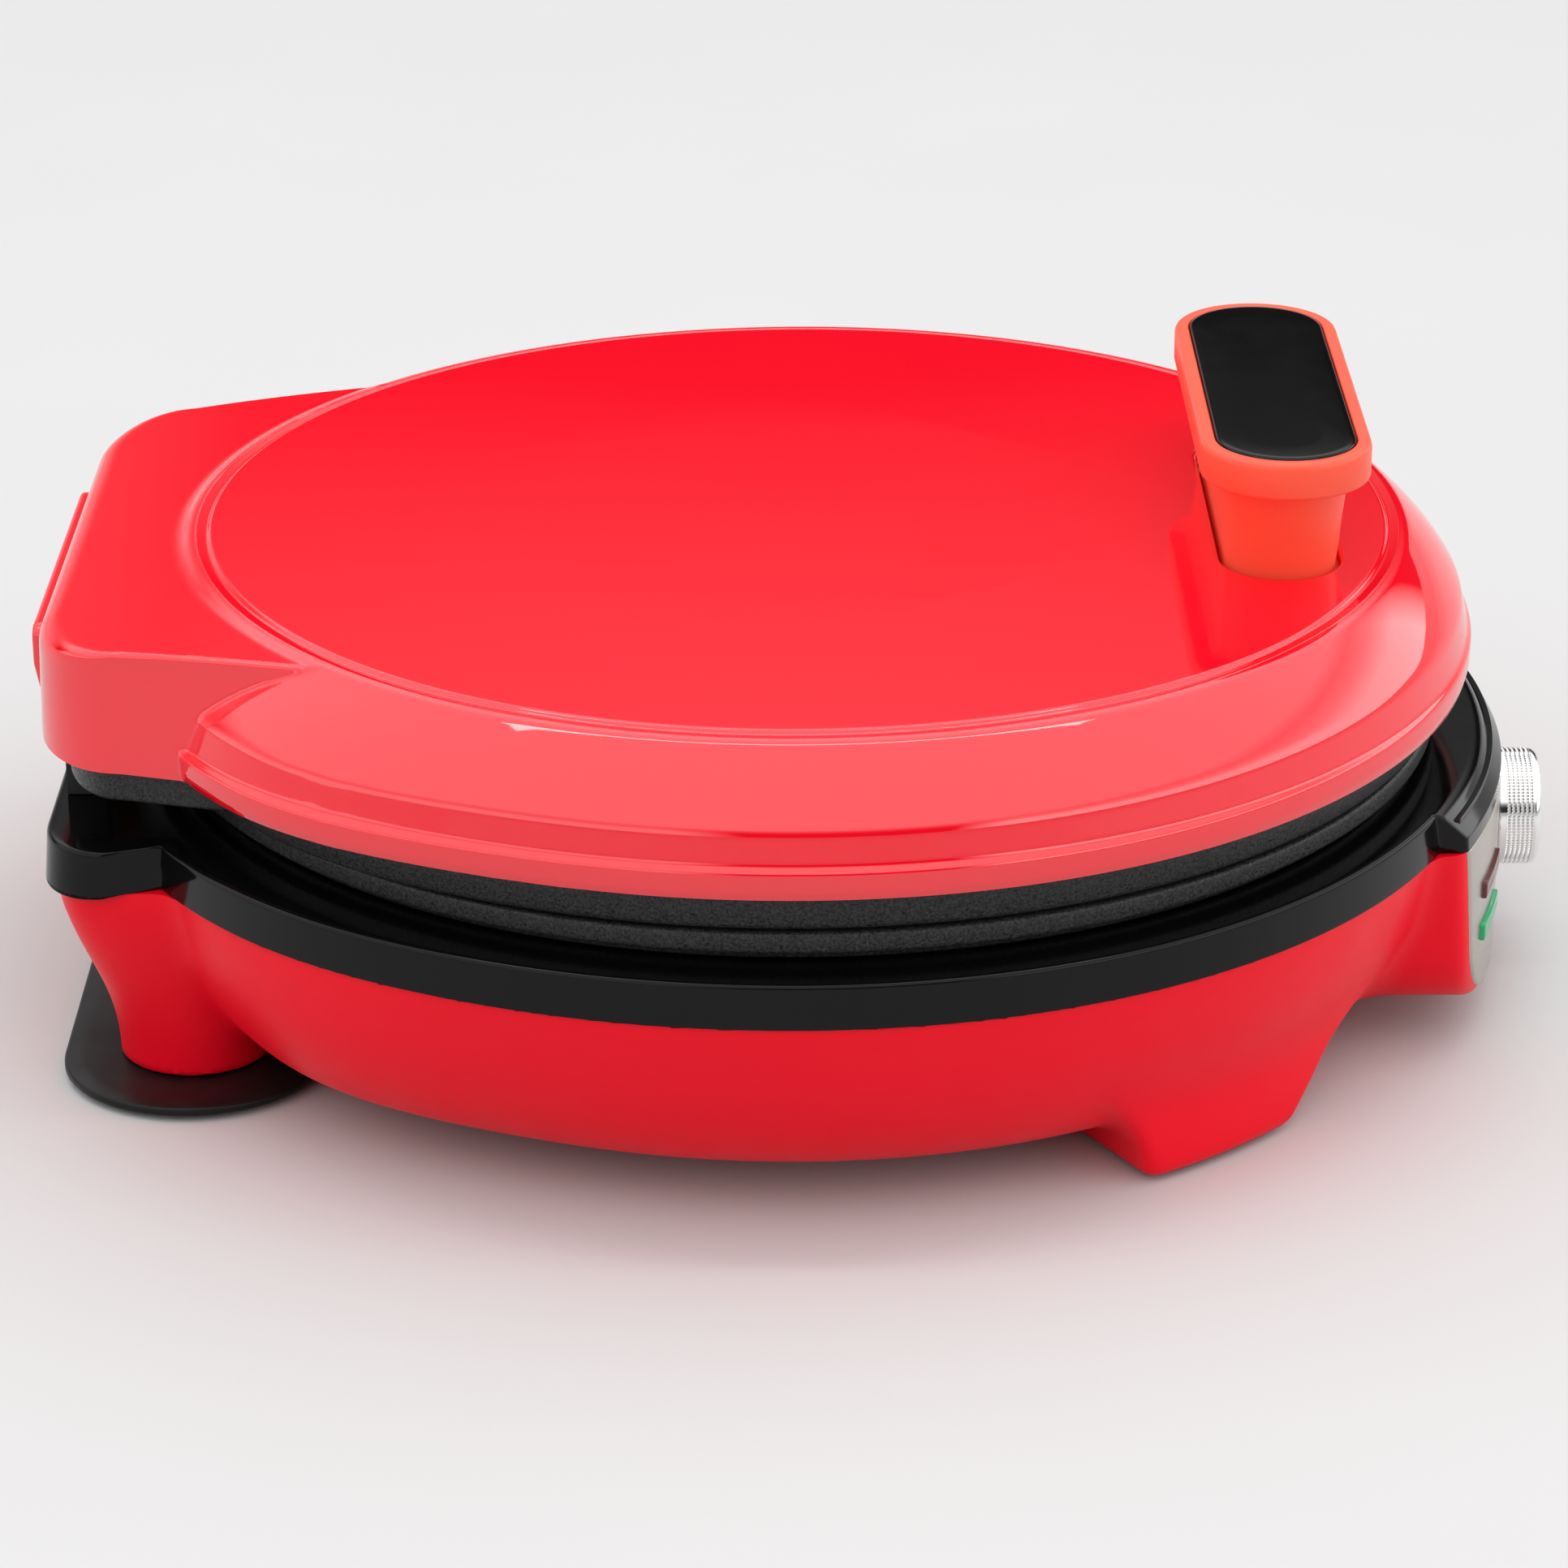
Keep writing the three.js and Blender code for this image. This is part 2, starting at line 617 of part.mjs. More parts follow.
function reflector(face, side) {
  const back = face + side * reflectorThickness;
  const lipTop = face - side * reflectorLip;
  const dish = lathe([
    [0, face],
    [reflectorRadius, face],
    [reflectorRadius + reflectorLip, lipTop],
    [reflectorRadius + reflectorLip + reflectorThickness, lipTop],
    [reflectorRadius + reflectorThickness, back],
    [0, back],
  ], reflectorSides);
  const [low, high] = [Math.min(face, back) - overrun, Math.max(face, back) + overrun];
  return cut(solid(dish), ...posts(plateScrewPlaces, screwRadius + clearance, low, high));
}

// Screws, drawn head down at the origin and turned where needed
function screwShape(length) {
  return lathe([
    [0, 0],
    [screwHeadRadius, 0],
    [screwHeadRadius, screwHeadHeight],
    [screwRadius, screwHeadHeight],
    [screwRadius, screwHeadHeight + length],
    [0, screwHeadHeight + length],
  ], screwSides);
}

function addScrews(name, places, z, length, upsideDown = false) {
  const turn = upsideDown ? Math.PI : 0;
  places.forEach(([x, y], i) => {
    const placed = screwShape(length).rotateX(turn).translate(x, y, z);
    add(`${name}_${i + 1}`, solid(placed), materials.steel);
  });
}

const plateScrewGrip = 8; // thread of a plate's screw in its boss

// Base shell: bowl, rear wing with two columns, front housing and front feet
const bowlShares = [
  [1, 0],
  [0.992, 0.12],
  [0.966, 0.42],
  [0.925, 0.68],
  [0.88, 0.86],
  [0.81, 0.962],
  [0.7, 1],
  [0, 1],
];
const bowlFloorShare = 0.625; // of the body's radius: flat part of the floor, which stays round
const bowlFloorRadius = bodyRadius * bowlFloorShare;
const wingDepth = 17; // rear block below the bezel
const wingTaper = 8;
const columnTopInset = 0.3;
const columnTopLength = 30; // of a column's top towards the middle of the part
const columnTopDepth = 32; // of a column's top towards the front
const columnSteps = 6;
const columnSides = 20;
const columnFlareShare = 0.7;
const columnScrewLength = 14;
const cornerPower = 4; // roundness of a column's top: 2 is an ellipse
const housingChamfer = 3.5;
const housingSteps = 14;
const footTop = -31;
const footSteps = 4;
const footFlarePower = 1.5;
const footRounding = 1;
const padInset = 4;
const padMarginAngle = 2; // degrees from a foot's end to its pad
const ventCount = 10;
const ventInner = 34;
const ventOuter = 52;
const ventHalfWidth = 2;
const rearBossX = 26;
const rearBossInset = 15; // back of the wing to a rear boss
const rearBossY = wingRear - rearBossInset;
const frontBossInset = 8.4; // edge of the body to a front boss
const frontBossRadius = bodyRadius - frontBossInset;
const frontBossAngle = 73.5;
const bossSplit = -6; // where bezel bosses meet base bosses
const headLevel = -12; // where the cover screws' heads bear
const plateHeadLevel = lowerReflectorUnderside - clearance - shellWall;

const coverScrewPlaces = [
  [-rearBossX, rearBossY],
  [rearBossX, rearBossY],
  onCircle(frontBossRadius, -frontBossAngle),
  onCircle(frontBossRadius, frontBossAngle - 180),
];
const columnPlaces = [[-columnX, columnY], [columnX, columnY]];
const columnBottom = footLevel + cordPlateThickness + clearance;

// The outside at no inset, the inside at the wall's thickness
function bowl(inset) {
  const top = baseTop + (inset > 0 ? overrun : 0);
  const level = (depthShare) => baseTop - (baseTop + bowlDepth) * depthShare + (depthShare > 0 ? inset : 0);
  const last = bowlShares.length - 1;
  const shares = bowlShares.filter((_, i) => inset === 0 || i % 2 === 0 || i === last);
  const side = shares.map(([radiusShare, depthShare]) => [
    Math.max(0, baseRadius * radiusShare - inset),
    level(depthShare),
  ]);
  return drawnOut(lathe([[0, top], [baseRadius - inset, top], ...side.slice(1)]), bowlFloorRadius);
}

function smooth(t) {
  return t * t * (3 - 2 * t);
}

// One rear column: the corner of the wing at the top, a round foot at the bottom
function column(side) {
  const inset = baseInset + columnTopInset;
  const outerX = wingHalfWidth - inset - columnX;
  const rearY = wingRear - inset - columnY;
  const rings = [];
  for (let level = 0; level <= columnSteps; level++) {
    const t = level / columnSteps;
    const flare = smooth(Math.pow(t, columnFlareShare));
    const points = Array.from({ length: columnSides }, (_, i) => {
      const angle = (2 * Math.PI * i) / columnSides;
      const [dx, dy] = [Math.cos(angle), Math.sin(angle)];
      const reach = Math.pow(dx ** cornerPower + dy ** cornerPower, -1 / cornerPower);
      const x = reach * dx * (dx > 0 ? outerX : columnTopLength);
      const y = reach * dy * (dy > 0 ? rearY : columnTopDepth);
      return new THREE.Vector3(
        side * (columnX + THREE.MathUtils.lerp(dx * columnRadius, x, flare)),
        columnY + THREE.MathUtils.lerp(dy * columnRadius, y, flare),
        THREE.MathUtils.lerp(columnBottom, baseTop, t),
      );
    });
    rings.push(side > 0 ? points : points.reverse());
  }
  return loft(rings);
}

function wingBlock(inset) {
  const top = baseTop + (inset > 0 ? overrun : 0);
  const side = baseInset + inset;
  return loft([
    at(wingOutline(bodyWing, side + wingTaper), baseTop - wingDepth + inset),
    at(wingOutline(bodyWing, side + wingTaper / 4), baseTop - (wingDepth - inset) / 2),
    at(wingOutline(bodyWing, side), top),
  ]);
}

function housingOutline(halfWidth, radius) {
  const angle = Math.asin(halfWidth / radius);
  const front = arc(0, 0, radius, -Math.PI / 2 - angle, -Math.PI / 2 + angle, housingSteps);
  return [...front, new THREE.Vector2(halfWidth, wingFront), new THREE.Vector2(-halfWidth, wingFront)];
}

function housing(inset) {
  const radius = housingRadius - inset;
  const half = housingHalfBottom - inset;
  const bottom = inset - housingDepth;
  const top = baseTop + (inset > 0 ? overrun : 0);
  return loft([
    at(housingOutline(half - housingChamfer, radius - housingChamfer), bottom),
    at(housingOutline(half, radius), bottom + housingChamfer),
    at(housingOutline(housingHalfTop - inset, radius), top),
  ]);
}

function footOutline(from, to, outer, inner, side) {
  const [start, end] = [(180 + from) * degrees, (180 + to) * degrees];
  const points = [...arc(0, 0, outer, start, end, footSteps), ...arc(0, 0, inner, end, start, footSteps)];
  return side < 0 ? points : points.map((p) => new THREE.Vector2(-p.x, p.y)).reverse();
}

function frontFoot(side) {
  const inner = frontFootRadius - frontFootDepth;
  const levels = Array.from({ length: footSteps + 1 }, (_, i) => {
    const t = i / footSteps;
    const spread = frontFootSpread * Math.pow(t, footFlarePower);
    const z = THREE.MathUtils.lerp(footLevel + footRounding, footTop, t);
    const [from, to] = [frontFootFrom - spread / 2, frontFootTo + spread];
    return at(footOutline(from, to, frontFootRadius, inner, side), z);
  });
  const sole = footOutline(frontFootFrom, frontFootTo, frontFootRadius - footRounding, inner, side);
  return loft([at(sole, footLevel), ...levels]);
}

function frontFootPad(side) {
  const [from, to] = [frontFootFrom + padMarginAngle, frontFootTo - padMarginAngle];
  const outer = frontFootRadius - padInset;
  const inner = frontFootRadius - frontFootDepth + padInset;
  return solid(prism(footOutline(from, to, outer, inner, side), floorLevel, floorLevel + padThickness));
}

// Hinge between base and lid
const bracketInner = hingeArmOffset + hingeArmWidth + clearance;
const bracketOuter = bracketInner + hingeBracketWidth;
const hingeSides = 20;

function hingeBore(x0, x1) {
  return rodAlongX(hingePinRadius + clearance, x0, x1, hingeY, hingeZ, hingeSides);
}

function hingeBracket(side) {
  const [x0, x1] = side > 0 ? [bracketInner, bracketOuter] : [-bracketOuter, -bracketInner];
  const foot = bezelHeight + clearance;
  const upright = block(x0, x1, hingeY - hingeEyeRadius, hingeY + hingeEyeRadius, foot, hingeZ);
  const eye = rodAlongX(hingeEyeRadius, x0, x1, hingeY, hingeZ, hingeSides);
  const bore = hingeBore(x0 - overrun, x1 + overrun);
  return cut(join(solid(upright), solid(eye)), solid(bore));
}

function hingeArm(side) {
  const [inner, outer] = [hingeArmOffset, hingeArmOffset + hingeArmWidth];
  const [x0, x1] = side > 0 ? [inner, outer] : [-outer, -inner];
  const rear = lidRear - shellWall - lidWingRearLean - clearance;
  const top = lidWingTopRear - shellWall - lidSoftening - clearance;
  const plate = block(x0, x1, hingeY - hingeEyeRadius, rear, lidEdge, top);
  const [y0, y1] = [hingeY - hingeEyeRadius, hingeY + hingeEyeRadius];
  const neck = block(x0, x1, y0, y1, hingeZ, lidEdge + hingeEyeRadius);
  const eye = rodAlongX(hingeEyeRadius, x0, x1, hingeY, hingeZ, hingeSides);
  const bore = hingeBore(x0 - overrun, x1 + overrun);
  return cut(join(solid(plate), solid(neck), solid(eye)), solid(bore), ...capScrewHoles(clearance));
}

const pinHead = 1.5;

function hingePin(side) {
  const [inner, outer] = [hingeArmOffset - pinHead, bracketOuter + clearance];
  const [from, to] = [inner, outer].map((x) => side * x).sort((a, b) => a - b);
  const shank = rodAlongX(hingePinRadius, from, to, hingeY, hingeZ, hingeSides);
  const [headFrom, headTo] = [outer, outer + pinHead].map((x) => side * x).sort((a, b) => a - b);
  const head = rodAlongX(hingePinRadius + pinHead / 2, headFrom, headTo, hingeY, hingeZ, hingeSides);
  return join(solid(shank), solid(head));
}

// Cover over the hinge arms on the lid's rear wall
const capThickness = 3.4;
const capDrop = 1.2; // lid's lower edge up to the cap's lower edge
const capHeight = 19;
const capTaper = 1.8; // the outer face leans in at the bottom
const capCorner = 3;
const capScrewLength = 9;
const capScrewZ = lidEdge + capDrop + capHeight / 2;
const capRear = lidRear + clearance + capThickness;
const capScrewX = hingeArmOffset + hingeArmWidth / 2;

function capScrewHoles(margin) {
  const [y0, y1] = [lidRear - shellWall - capScrewLength, capRear + overrun];
  return [-1, 1].map((side) => solid(rodAlongY(screwRadius + margin, side * capScrewX, y0, y1, capScrewZ)));
}

function hingeCap() {
  const outline = [
    ...arc(capHalfWidth - capCorner, capHeight - capCorner, capCorner, 0, Math.PI / 2, 3),
    ...arc(capCorner - capHalfWidth, capHeight - capCorner, capCorner, Math.PI / 2, Math.PI, 3),
    new THREE.Vector2(-capHalfWidth, 0),
    new THREE.Vector2(capHalfWidth, 0),
  ];
  const [low, high] = [lidEdge + capDrop, lidEdge + capDrop + capHeight];
  const slab = frontPrism(moved(outline, 0, low), lidRear + clearance, capRear);
  const lean = [
    new THREE.Vector2(capRear - capTaper, low),
    new THREE.Vector2(capRear + overrun, low),
    new THREE.Vector2(capRear + overrun, high),
    new THREE.Vector2(capRear, high - capHeight / 2),
  ];
  const recess = [-1, 1].map((side) =>
    solid(rodAlongY(screwHeadRadius + clearance, side * capScrewX, capRear - screwHeadHeight - clearance,
      capRear + overrun, capScrewZ)),
  );
  const leanCut = sidePrism(lean, capHalfWidth + overrun);
  return cut(solid(slab), solid(leanCut), ...capScrewHoles(clearance), ...recess);
}

function addHingeCapScrews() {
  [-1, 1].forEach((side, i) => {
    const screw = screwShape(capScrewLength).rotateX(Math.PI / 2);
    const placed = screw.translate(side * capScrewX, capRear - clearance / 2, capScrewZ);
    add(`hinge_cap_screw_${i + 1}`, solid(placed), materials.steel);
  });
}

// Bezel: ring with the rear wing and the front lip over the controls
const bezelLedgeDepth = 5; // turned-down inner edge of the ring
const bezelTopWing = {
  ...bodyWing,
  halfWidth: wingHalfWidth - bezelWingLean,
  cornerLength: bezelTopCorner,
  cornerDepth: bezelTopCorner,
};

function bezel() {
  const inner = cavityRadius + bezelGap;
  const under = bezelHeight - shellWall;
  const round = drawnOut(disc(bodyRadius, 0, bezelHeight));
  const wing = loft([at(wingOutline(bodyWing, 0), 0), at(wingOutline(bezelTopWing, 0), bezelHeight)]);
  const opening = disc(inner, -overrun, bezelHeight + overrun);
  const lipEnds = [
    new THREE.Vector2(-lipHalfWidth, 0),
    new THREE.Vector2(lipHalfWidth, 0),
    new THREE.Vector2(lipHalfWidth + shellWall, bezelHeight),
    new THREE.Vector2(-lipHalfWidth - shellWall, bezelHeight),
  ];
  const lipRing = lathe([
    [bodyRadius - shellWall, 0],
    [lipRadius, 0],
    [lipRadius, lipEdgeHeight],
    [bodyRadius, bezelHeight],
    [bodyRadius - shellWall, bezelHeight],
  ]);
  const lip = common(solid(lipRing), solid(frontPrism(lipEnds, -lipRadius - overrun, wingFront)));
  const body = cut(join(solid(round), solid(wing), lip), solid(opening));
  const hollowRound = drawnOut(disc(bodyRadius - shellWall, -overrun, under));
  const hollowWing = loft([
    at(wingOutline(bodyWing, shellWall), -overrun),
    at(wingOutline(bodyWing, shellWall), 0),
    at(wingOutline(bezelTopWing, shellWall), under),
  ]);
  const innerWall = disc(inner + shellWall, -overrun - clearance, under + clearance);
  const hollow = cut(join(solid(hollowRound), solid(hollowWing)), solid(innerWall));
  const bosses = posts(coverScrewPlaces, bossRadius, bossSplit, under + clearance);
  const holes = posts(coverScrewPlaces, screwRadius + clearance, bossSplit - overrun, under);
  const ledge = bezelHeight - bezelLedgeDepth;
  const ledgeCut = ring(inner - overrun, inner + shellWall + clearance, -overrun, ledge);
  return cut(join(cut(body, hollow, solid(ledgeCut)), ...bosses), ...holes);
}

// Control panel with its lenses, knob and thermostat
const panelTop = -clearance;
const panelLift = 1.5; // housing's lower edge up to the panel's
const panelBottom = panelLift - housingDepth;
const panelEdge = 0.9; // the panel inside the housing's upper corners
const panelSpread = 2; // the panel past the housing's lower corners, before its own are rounded
const panelHalfTop = housingHalfTop - panelEdge;
const panelHalfBottom = housingHalfBottom + panelSpread;
const panelCorner = 20;
const lensShare = 0.613; // middle of the housing's half to the middle of a lens
const lensX = -housingHalfTop * lensShare;
const lensHalfWidth = 10.5;
const lensHeight = 5.4;
const redLensZ = -17.5;
const greenLensZ = -30;
const lensProud = 0.6;
const lampRadius = 1.8;
const knobGap = 0.3; // panel to the knob
const knobRounding = 2;
const knobSides = 26;
const pointerDepth = 0.6;
const pointerHalfWidth = 0.9;

const panelFace = housingRadius;
const panelBack = housingRadius - panelThickness;
const knobBack = -(panelFace + knobGap);
const knobFront = knobBack - knobLength;

function shaftBore(y0, y1) {
  return rodAlongY(knobShaftRadius + clearance, 0, y0, y1, -knobDrop);
}

function panelOutline(margin) {
  const half = panelHalfBottom + margin;
  const corner = panelCorner + margin;
  const low = panelBottom - margin;
  return [
    new THREE.Vector2(-panelHalfTop - margin, panelTop + margin),
    ...arc(corner - half, low + corner, corner, Math.PI, 1.5 * Math.PI, 6),
    ...arc(half - corner, low + corner, corner, 1.5 * Math.PI, 2 * Math.PI, 6),
    new THREE.Vector2(panelHalfTop + margin, panelTop + margin),
  ];
}

function lensOutline(z, margin) {
  const [x, h] = [lensHalfWidth + margin, lensHeight / 2 + margin];
  return [
    new THREE.Vector2(lensX - x, z - h),
    new THREE.Vector2(lensX + x, z - h),
    new THREE.Vector2(lensX + x, z + h),
    new THREE.Vector2(lensX - x, z + h),
  ];
}

// A piece of the curved front between two radii, with its outline seen from the front
function frontSheet(outline, inner, outer) {
  const low = floorLevel;
  const curved = ring(inner, outer, low, bezelHeight + overrun);
  return common(solid(curved), solid(frontPrism(outline, -outer - overrun, wingFront)));
}

function controlPanel() {
  const holes = [redLensZ, greenLensZ].map((z) =>
    solid(frontPrism(lensOutline(z, clearance), -panelFace - overrun, wingFront)),
  );
  const shaftHole = shaftBore(-panelFace - overrun, -panelBack + overrun);
  return cut(frontSheet(panelOutline(0), panelBack, panelFace), ...holes, solid(shaftHole));
}

function lens(z) {
  return frontSheet(lensOutline(z, 0), panelBack, panelFace + lensProud);
}

function lamp(z) {
  const half = lensHalfWidth / 2;
  const y = -panelBack * Math.cos(Math.asin((Math.abs(lensX) + half) / panelBack));
  const front = y + lampRadius + clearance;
  return solid(rodAlongX(lampRadius, lensX - half, lensX + half, front, z));
}

function knobTurn(profile) {
  return lathe(profile, knobSides).rotateX(Math.PI / 2).translate(0, 0, -knobDrop);
}

function knob() {
  const boreDepth = knobLength - 2 * knobRounding;
  const bore = knobShaftRadius + clearance;
  const start = -knobBack;
  const end = -knobFront;
  const body = knobTurn([
    [bore, start],
    [knobRadius, start],
    [knobRadius, end - knobRounding],
    [knobRadius - knobRounding, end],
    [0, end],
    [0, start + boreDepth],
    [bore, start + boreDepth],
  ]);
  const pointer = block(-pointerHalfWidth, pointerHalfWidth, knobFront - overrun, knobFront + pointerDepth,
    knobRadius / 3 - knobDrop, knobRadius - knobRounding - knobDrop);
  return cut(solid(body), solid(pointer));
}

const thermostatRadius = 13;
const thermostatLength = 13;
const thermostatInset = 9.9; // front of the housing to the thermostat
const thermostatFace = housingRadius - thermostatInset;
const thermostatSides = 20;
const bracketPlate = 1.6;

function knobShaft() {
  const end = -knobBack + knobLength - 2 * knobRounding - clearance;
  return solid(rodAlongY(knobShaftRadius, 0, -end, -thermostatFace - clearance, -knobDrop));
}

function thermostatBody() {
  const [y0, y1] = [-thermostatFace, -thermostatFace + thermostatLength];
  return solid(rodAlongY(thermostatRadius, 0, y0, y1, -knobDrop, thermostatSides));
}

function thermostatBracket() {
  const half = thermostatRadius + bossRadius;
  const y1 = -thermostatFace - clearance;
  const [low, high] = [-knobDrop - thermostatRadius / 2, -knobDrop + thermostatRadius / 2];
  const plate = block(-half, half, y1 - bracketPlate, y1, low, high);
  const innerWall = panelBack - clearance - shellWall;
  const legs = [-1, 1].map((side) => {
    const [x0, x1] = side > 0 ? [half - bossRadius, half] : [-half, bossRadius - half];
    const front = Math.sqrt(innerWall * innerWall - half * half) - clearance;
    return solid(block(x0, x1, -front, y1, -knobDrop - bossRadius, -knobDrop + bossRadius));
  });
  const hole = shaftBore(y1 - bracketPlate - overrun, y1 + overrun);
  return cut(join(solid(plate), ...legs), solid(hole));
}

// Cord gland, terminal block, fuses and wires
const glandZ = -9;
const glandRadius = 8;
const glandNeck = 5.2;
const glandBore = 3.4;
const glandFlange = 2;
const glandSides = 16;
const terminalHalf = 15;
const terminalDepth = 12;
const terminalHeight = 11;
const terminalCornerShare = 0.6845; // of the body's radius: the terminal block's rear corners
const terminalRear = Math.sqrt((bodyRadius * terminalCornerShare) ** 2 - terminalHalf ** 2);
const terminalY = terminalRear - terminalDepth / 2;
const fuseRadius = 2.5;
const fuseHalf = 9;
const fuseInset = 33; // element's ring in to the fuse
const fuseY = fuseInset - elementRadius;
const wireRadius = 2;
const wireSides = 6;
const wireStepsPerPoint = 4;
const wireTension = 0.1;
const supplyShares = [0, 0.2, 0.7, 1]; // of the way from the gland to the terminal block
const controlShares = [0, 0.1, 0.3, 0.75, 0.93, 1]; // of the way on to the thermostat

function cordGland() {
  const wallFace = wingRear - baseInset + clearance;
  const innerFace = wallFace - shellWall - wingTaper / 2;
  const body = lathe([
    [glandBore, innerFace],
    [glandNeck, innerFace],
    [glandNeck, wallFace],
    [glandRadius, wallFace],
    [glandRadius, wallFace + glandFlange],
    [glandNeck, wallFace + 2 * glandFlange],
    [glandBore, wallFace + 2 * glandFlange],
  ], glandSides).rotateX(-Math.PI / 2).translate(0, 0, glandZ);
  return solid(body);
}

function terminalBlock() {
  const [front, rear] = [terminalY - terminalDepth / 2, terminalY + terminalDepth / 2];
  return solid(block(-terminalHalf, terminalHalf, front, rear, wiringLevel, wiringLevel + terminalHeight));
}

function fuse(z) {
  return solid(rodAlongX(fuseRadius, -fuseHalf, fuseHalf, fuseY, z));
}

const wiringLevel = baseFloor + shellWall + clearance;
const terminalMiddle = wiringLevel + terminalHeight / 2;

function wire(x, shares, start, end, heights) {
  const points = shares.map((t, i) => [x, THREE.MathUtils.lerp(start, end, t), heights[i]]);
  return solid(tube(points, wireRadius, wireStepsPerPoint * shares.length, wireSides, wireTension));
}

function supplyWire() {
  const start = wingRear - baseInset - shellWall - wingTaper / 2;
  const end = terminalY + terminalDepth / 2 + clearance;
  return wire(0, supplyShares, start, end, [glandZ, glandZ, terminalMiddle, terminalMiddle]);
}

function controlWire() {
  const start = terminalY - terminalDepth / 2 - clearance;
  const end = -thermostatFace + thermostatLength + clearance;
  const resting = wiringLevel + wireRadius;
  const heights = [terminalMiddle, terminalMiddle, resting, resting, -knobDrop, -knobDrop];
  const besidePost = plateBossRadius + 2 * wireRadius;
  return wire(besidePost, controlShares, start, end, heights);
}

// Base shell with everything cut into it
function baseShell() {
  const blocks = [bowl(0), wingBlock(0), housing(0), column(1), column(-1), frontFoot(1), frontFoot(-1)];
  const outer = join(...blocks.map(solid));
  const cavity = join(...[bowl(shellWall), wingBlock(shellWall), housing(shellWall)].map(solid));
  const recessBack = panelBack - clearance;
  const recess = frontSheet(panelOutline(clearance), recessBack, housingRadius + overrun);
  const recessBacking = frontSheet(panelOutline(shellWall), recessBack - shellWall, housingRadius);
  const hollow = cut(
    cavity,
    recessBacking,
    ...posts(coverScrewPlaces, bossRadius, baseFloor, bossSplit - clearance),
    ...posts(plateScrewPlaces, plateBossRadius, baseFloor, lowerReflectorUnderside - clearance),
  );
  const hole = screwRadius + clearance;
  const tunnel = screwHeadRadius + clearance;
  const columnTop = columnBottom + columnScrewLength + overrun;
  const drilled = [
    ...posts(coverScrewPlaces, tunnel, floorLevel, headLevel),
    ...posts(coverScrewPlaces, hole, floorLevel, 0),
    ...posts(plateScrewPlaces, tunnel, floorLevel, plateHeadLevel),
    ...posts(plateScrewPlaces, hole, floorLevel, 0),
    ...posts(columnPlaces, hole, floorLevel, columnTop),
  ];
  const lampWindows = [redLensZ, greenLensZ].map((z) =>
    solid(frontPrism(lensOutline(z, clearance), -housingRadius, -frontBossRadius)),
  );
  const shaftHole = shaftBore(-housingRadius - overrun, -thermostatFace + clearance);
  const glandFront = wingRear - wingTaper - shellWall;
  const glandHole = rodAlongY(glandNeck + clearance, 0, glandFront, wingRear + overrun, glandZ, glandSides);
  const bores = [solid(shaftHole), solid(glandHole)];
  return cut(outer, hollow, recess, ...drilled, ...lampWindows, ...bores, ...vents());
}

function vents() {
  const [low, high] = [floorLevel, baseFloor + 2 * shellWall];
  return Array.from({ length: ventCount }, (_, i) => {
    const slot = block(ventInner, ventOuter, -ventHalfWidth, ventHalfWidth, low, high);
    return solid(slot.rotateZ((2 * Math.PI * i) / ventCount + Math.PI / ventCount));
  });
}

// Cord wrap plate under the two rear columns, with its screws and pads
const cordPlateSteps = 12;
const rearPadOuter = 15;
const rearPadInner = 6;
const rearPadSides = 16;
const flatHeadHeight = 0.8;

function cordWrapPlate() {
  const outline = moved(stadium(cordPlateHalfLength, cordPlateRadius, cordPlateSteps), 0, columnY);
  const slab = prism(outline, footLevel, footLevel + cordPlateThickness);
  return cut(solid(slab), ...posts(columnPlaces, screwRadius + clearance, floorLevel, 0));
}

function rearFootPad(side) {
  const pad = ring(rearPadInner, rearPadOuter, floorLevel, floorLevel + padThickness, rearPadSides);
  return solid(pad.translate(side * columnX, columnY, 0));
}

// Flat heads that stay clear of the table
function addCordPlateScrews() {
  const seat = footLevel - clearance / 2;
  const head = seat - flatHeadHeight;
  const tip = columnBottom + columnScrewLength;
  columnPlaces.forEach(([x, y], i) => {
    const screw = lathe([
      [0, head],
      [screwHeadRadius, head],
      [screwHeadRadius, seat],
      [screwRadius, seat],
      [screwRadius, tip],
      [0, tip],
    ], screwSides);
    add(`cord_plate_screw_${i + 1}`, solid(screw.translate(x, y, 0)), materials.steel);
  });
}

// Handle: flared stem, grip flange and plain black insert
const insertMargin = 3.4; // grip edge to the insert
const insertDepth = 2;
const insertProud = 0.3;
const gripRounding = 1.2;
const gripSteps = 9;
const handleScrewSpacing = 30;
const handleScrewLength = 12;
const handleScrewPlaces = [[-handleScrewSpacing, handleY], [handleScrewSpacing, handleY]];

function grip(halfLength, halfWidth, z) {
  return at(moved(stadium(halfLength, halfWidth, gripSteps), 0, handleY), z);
}

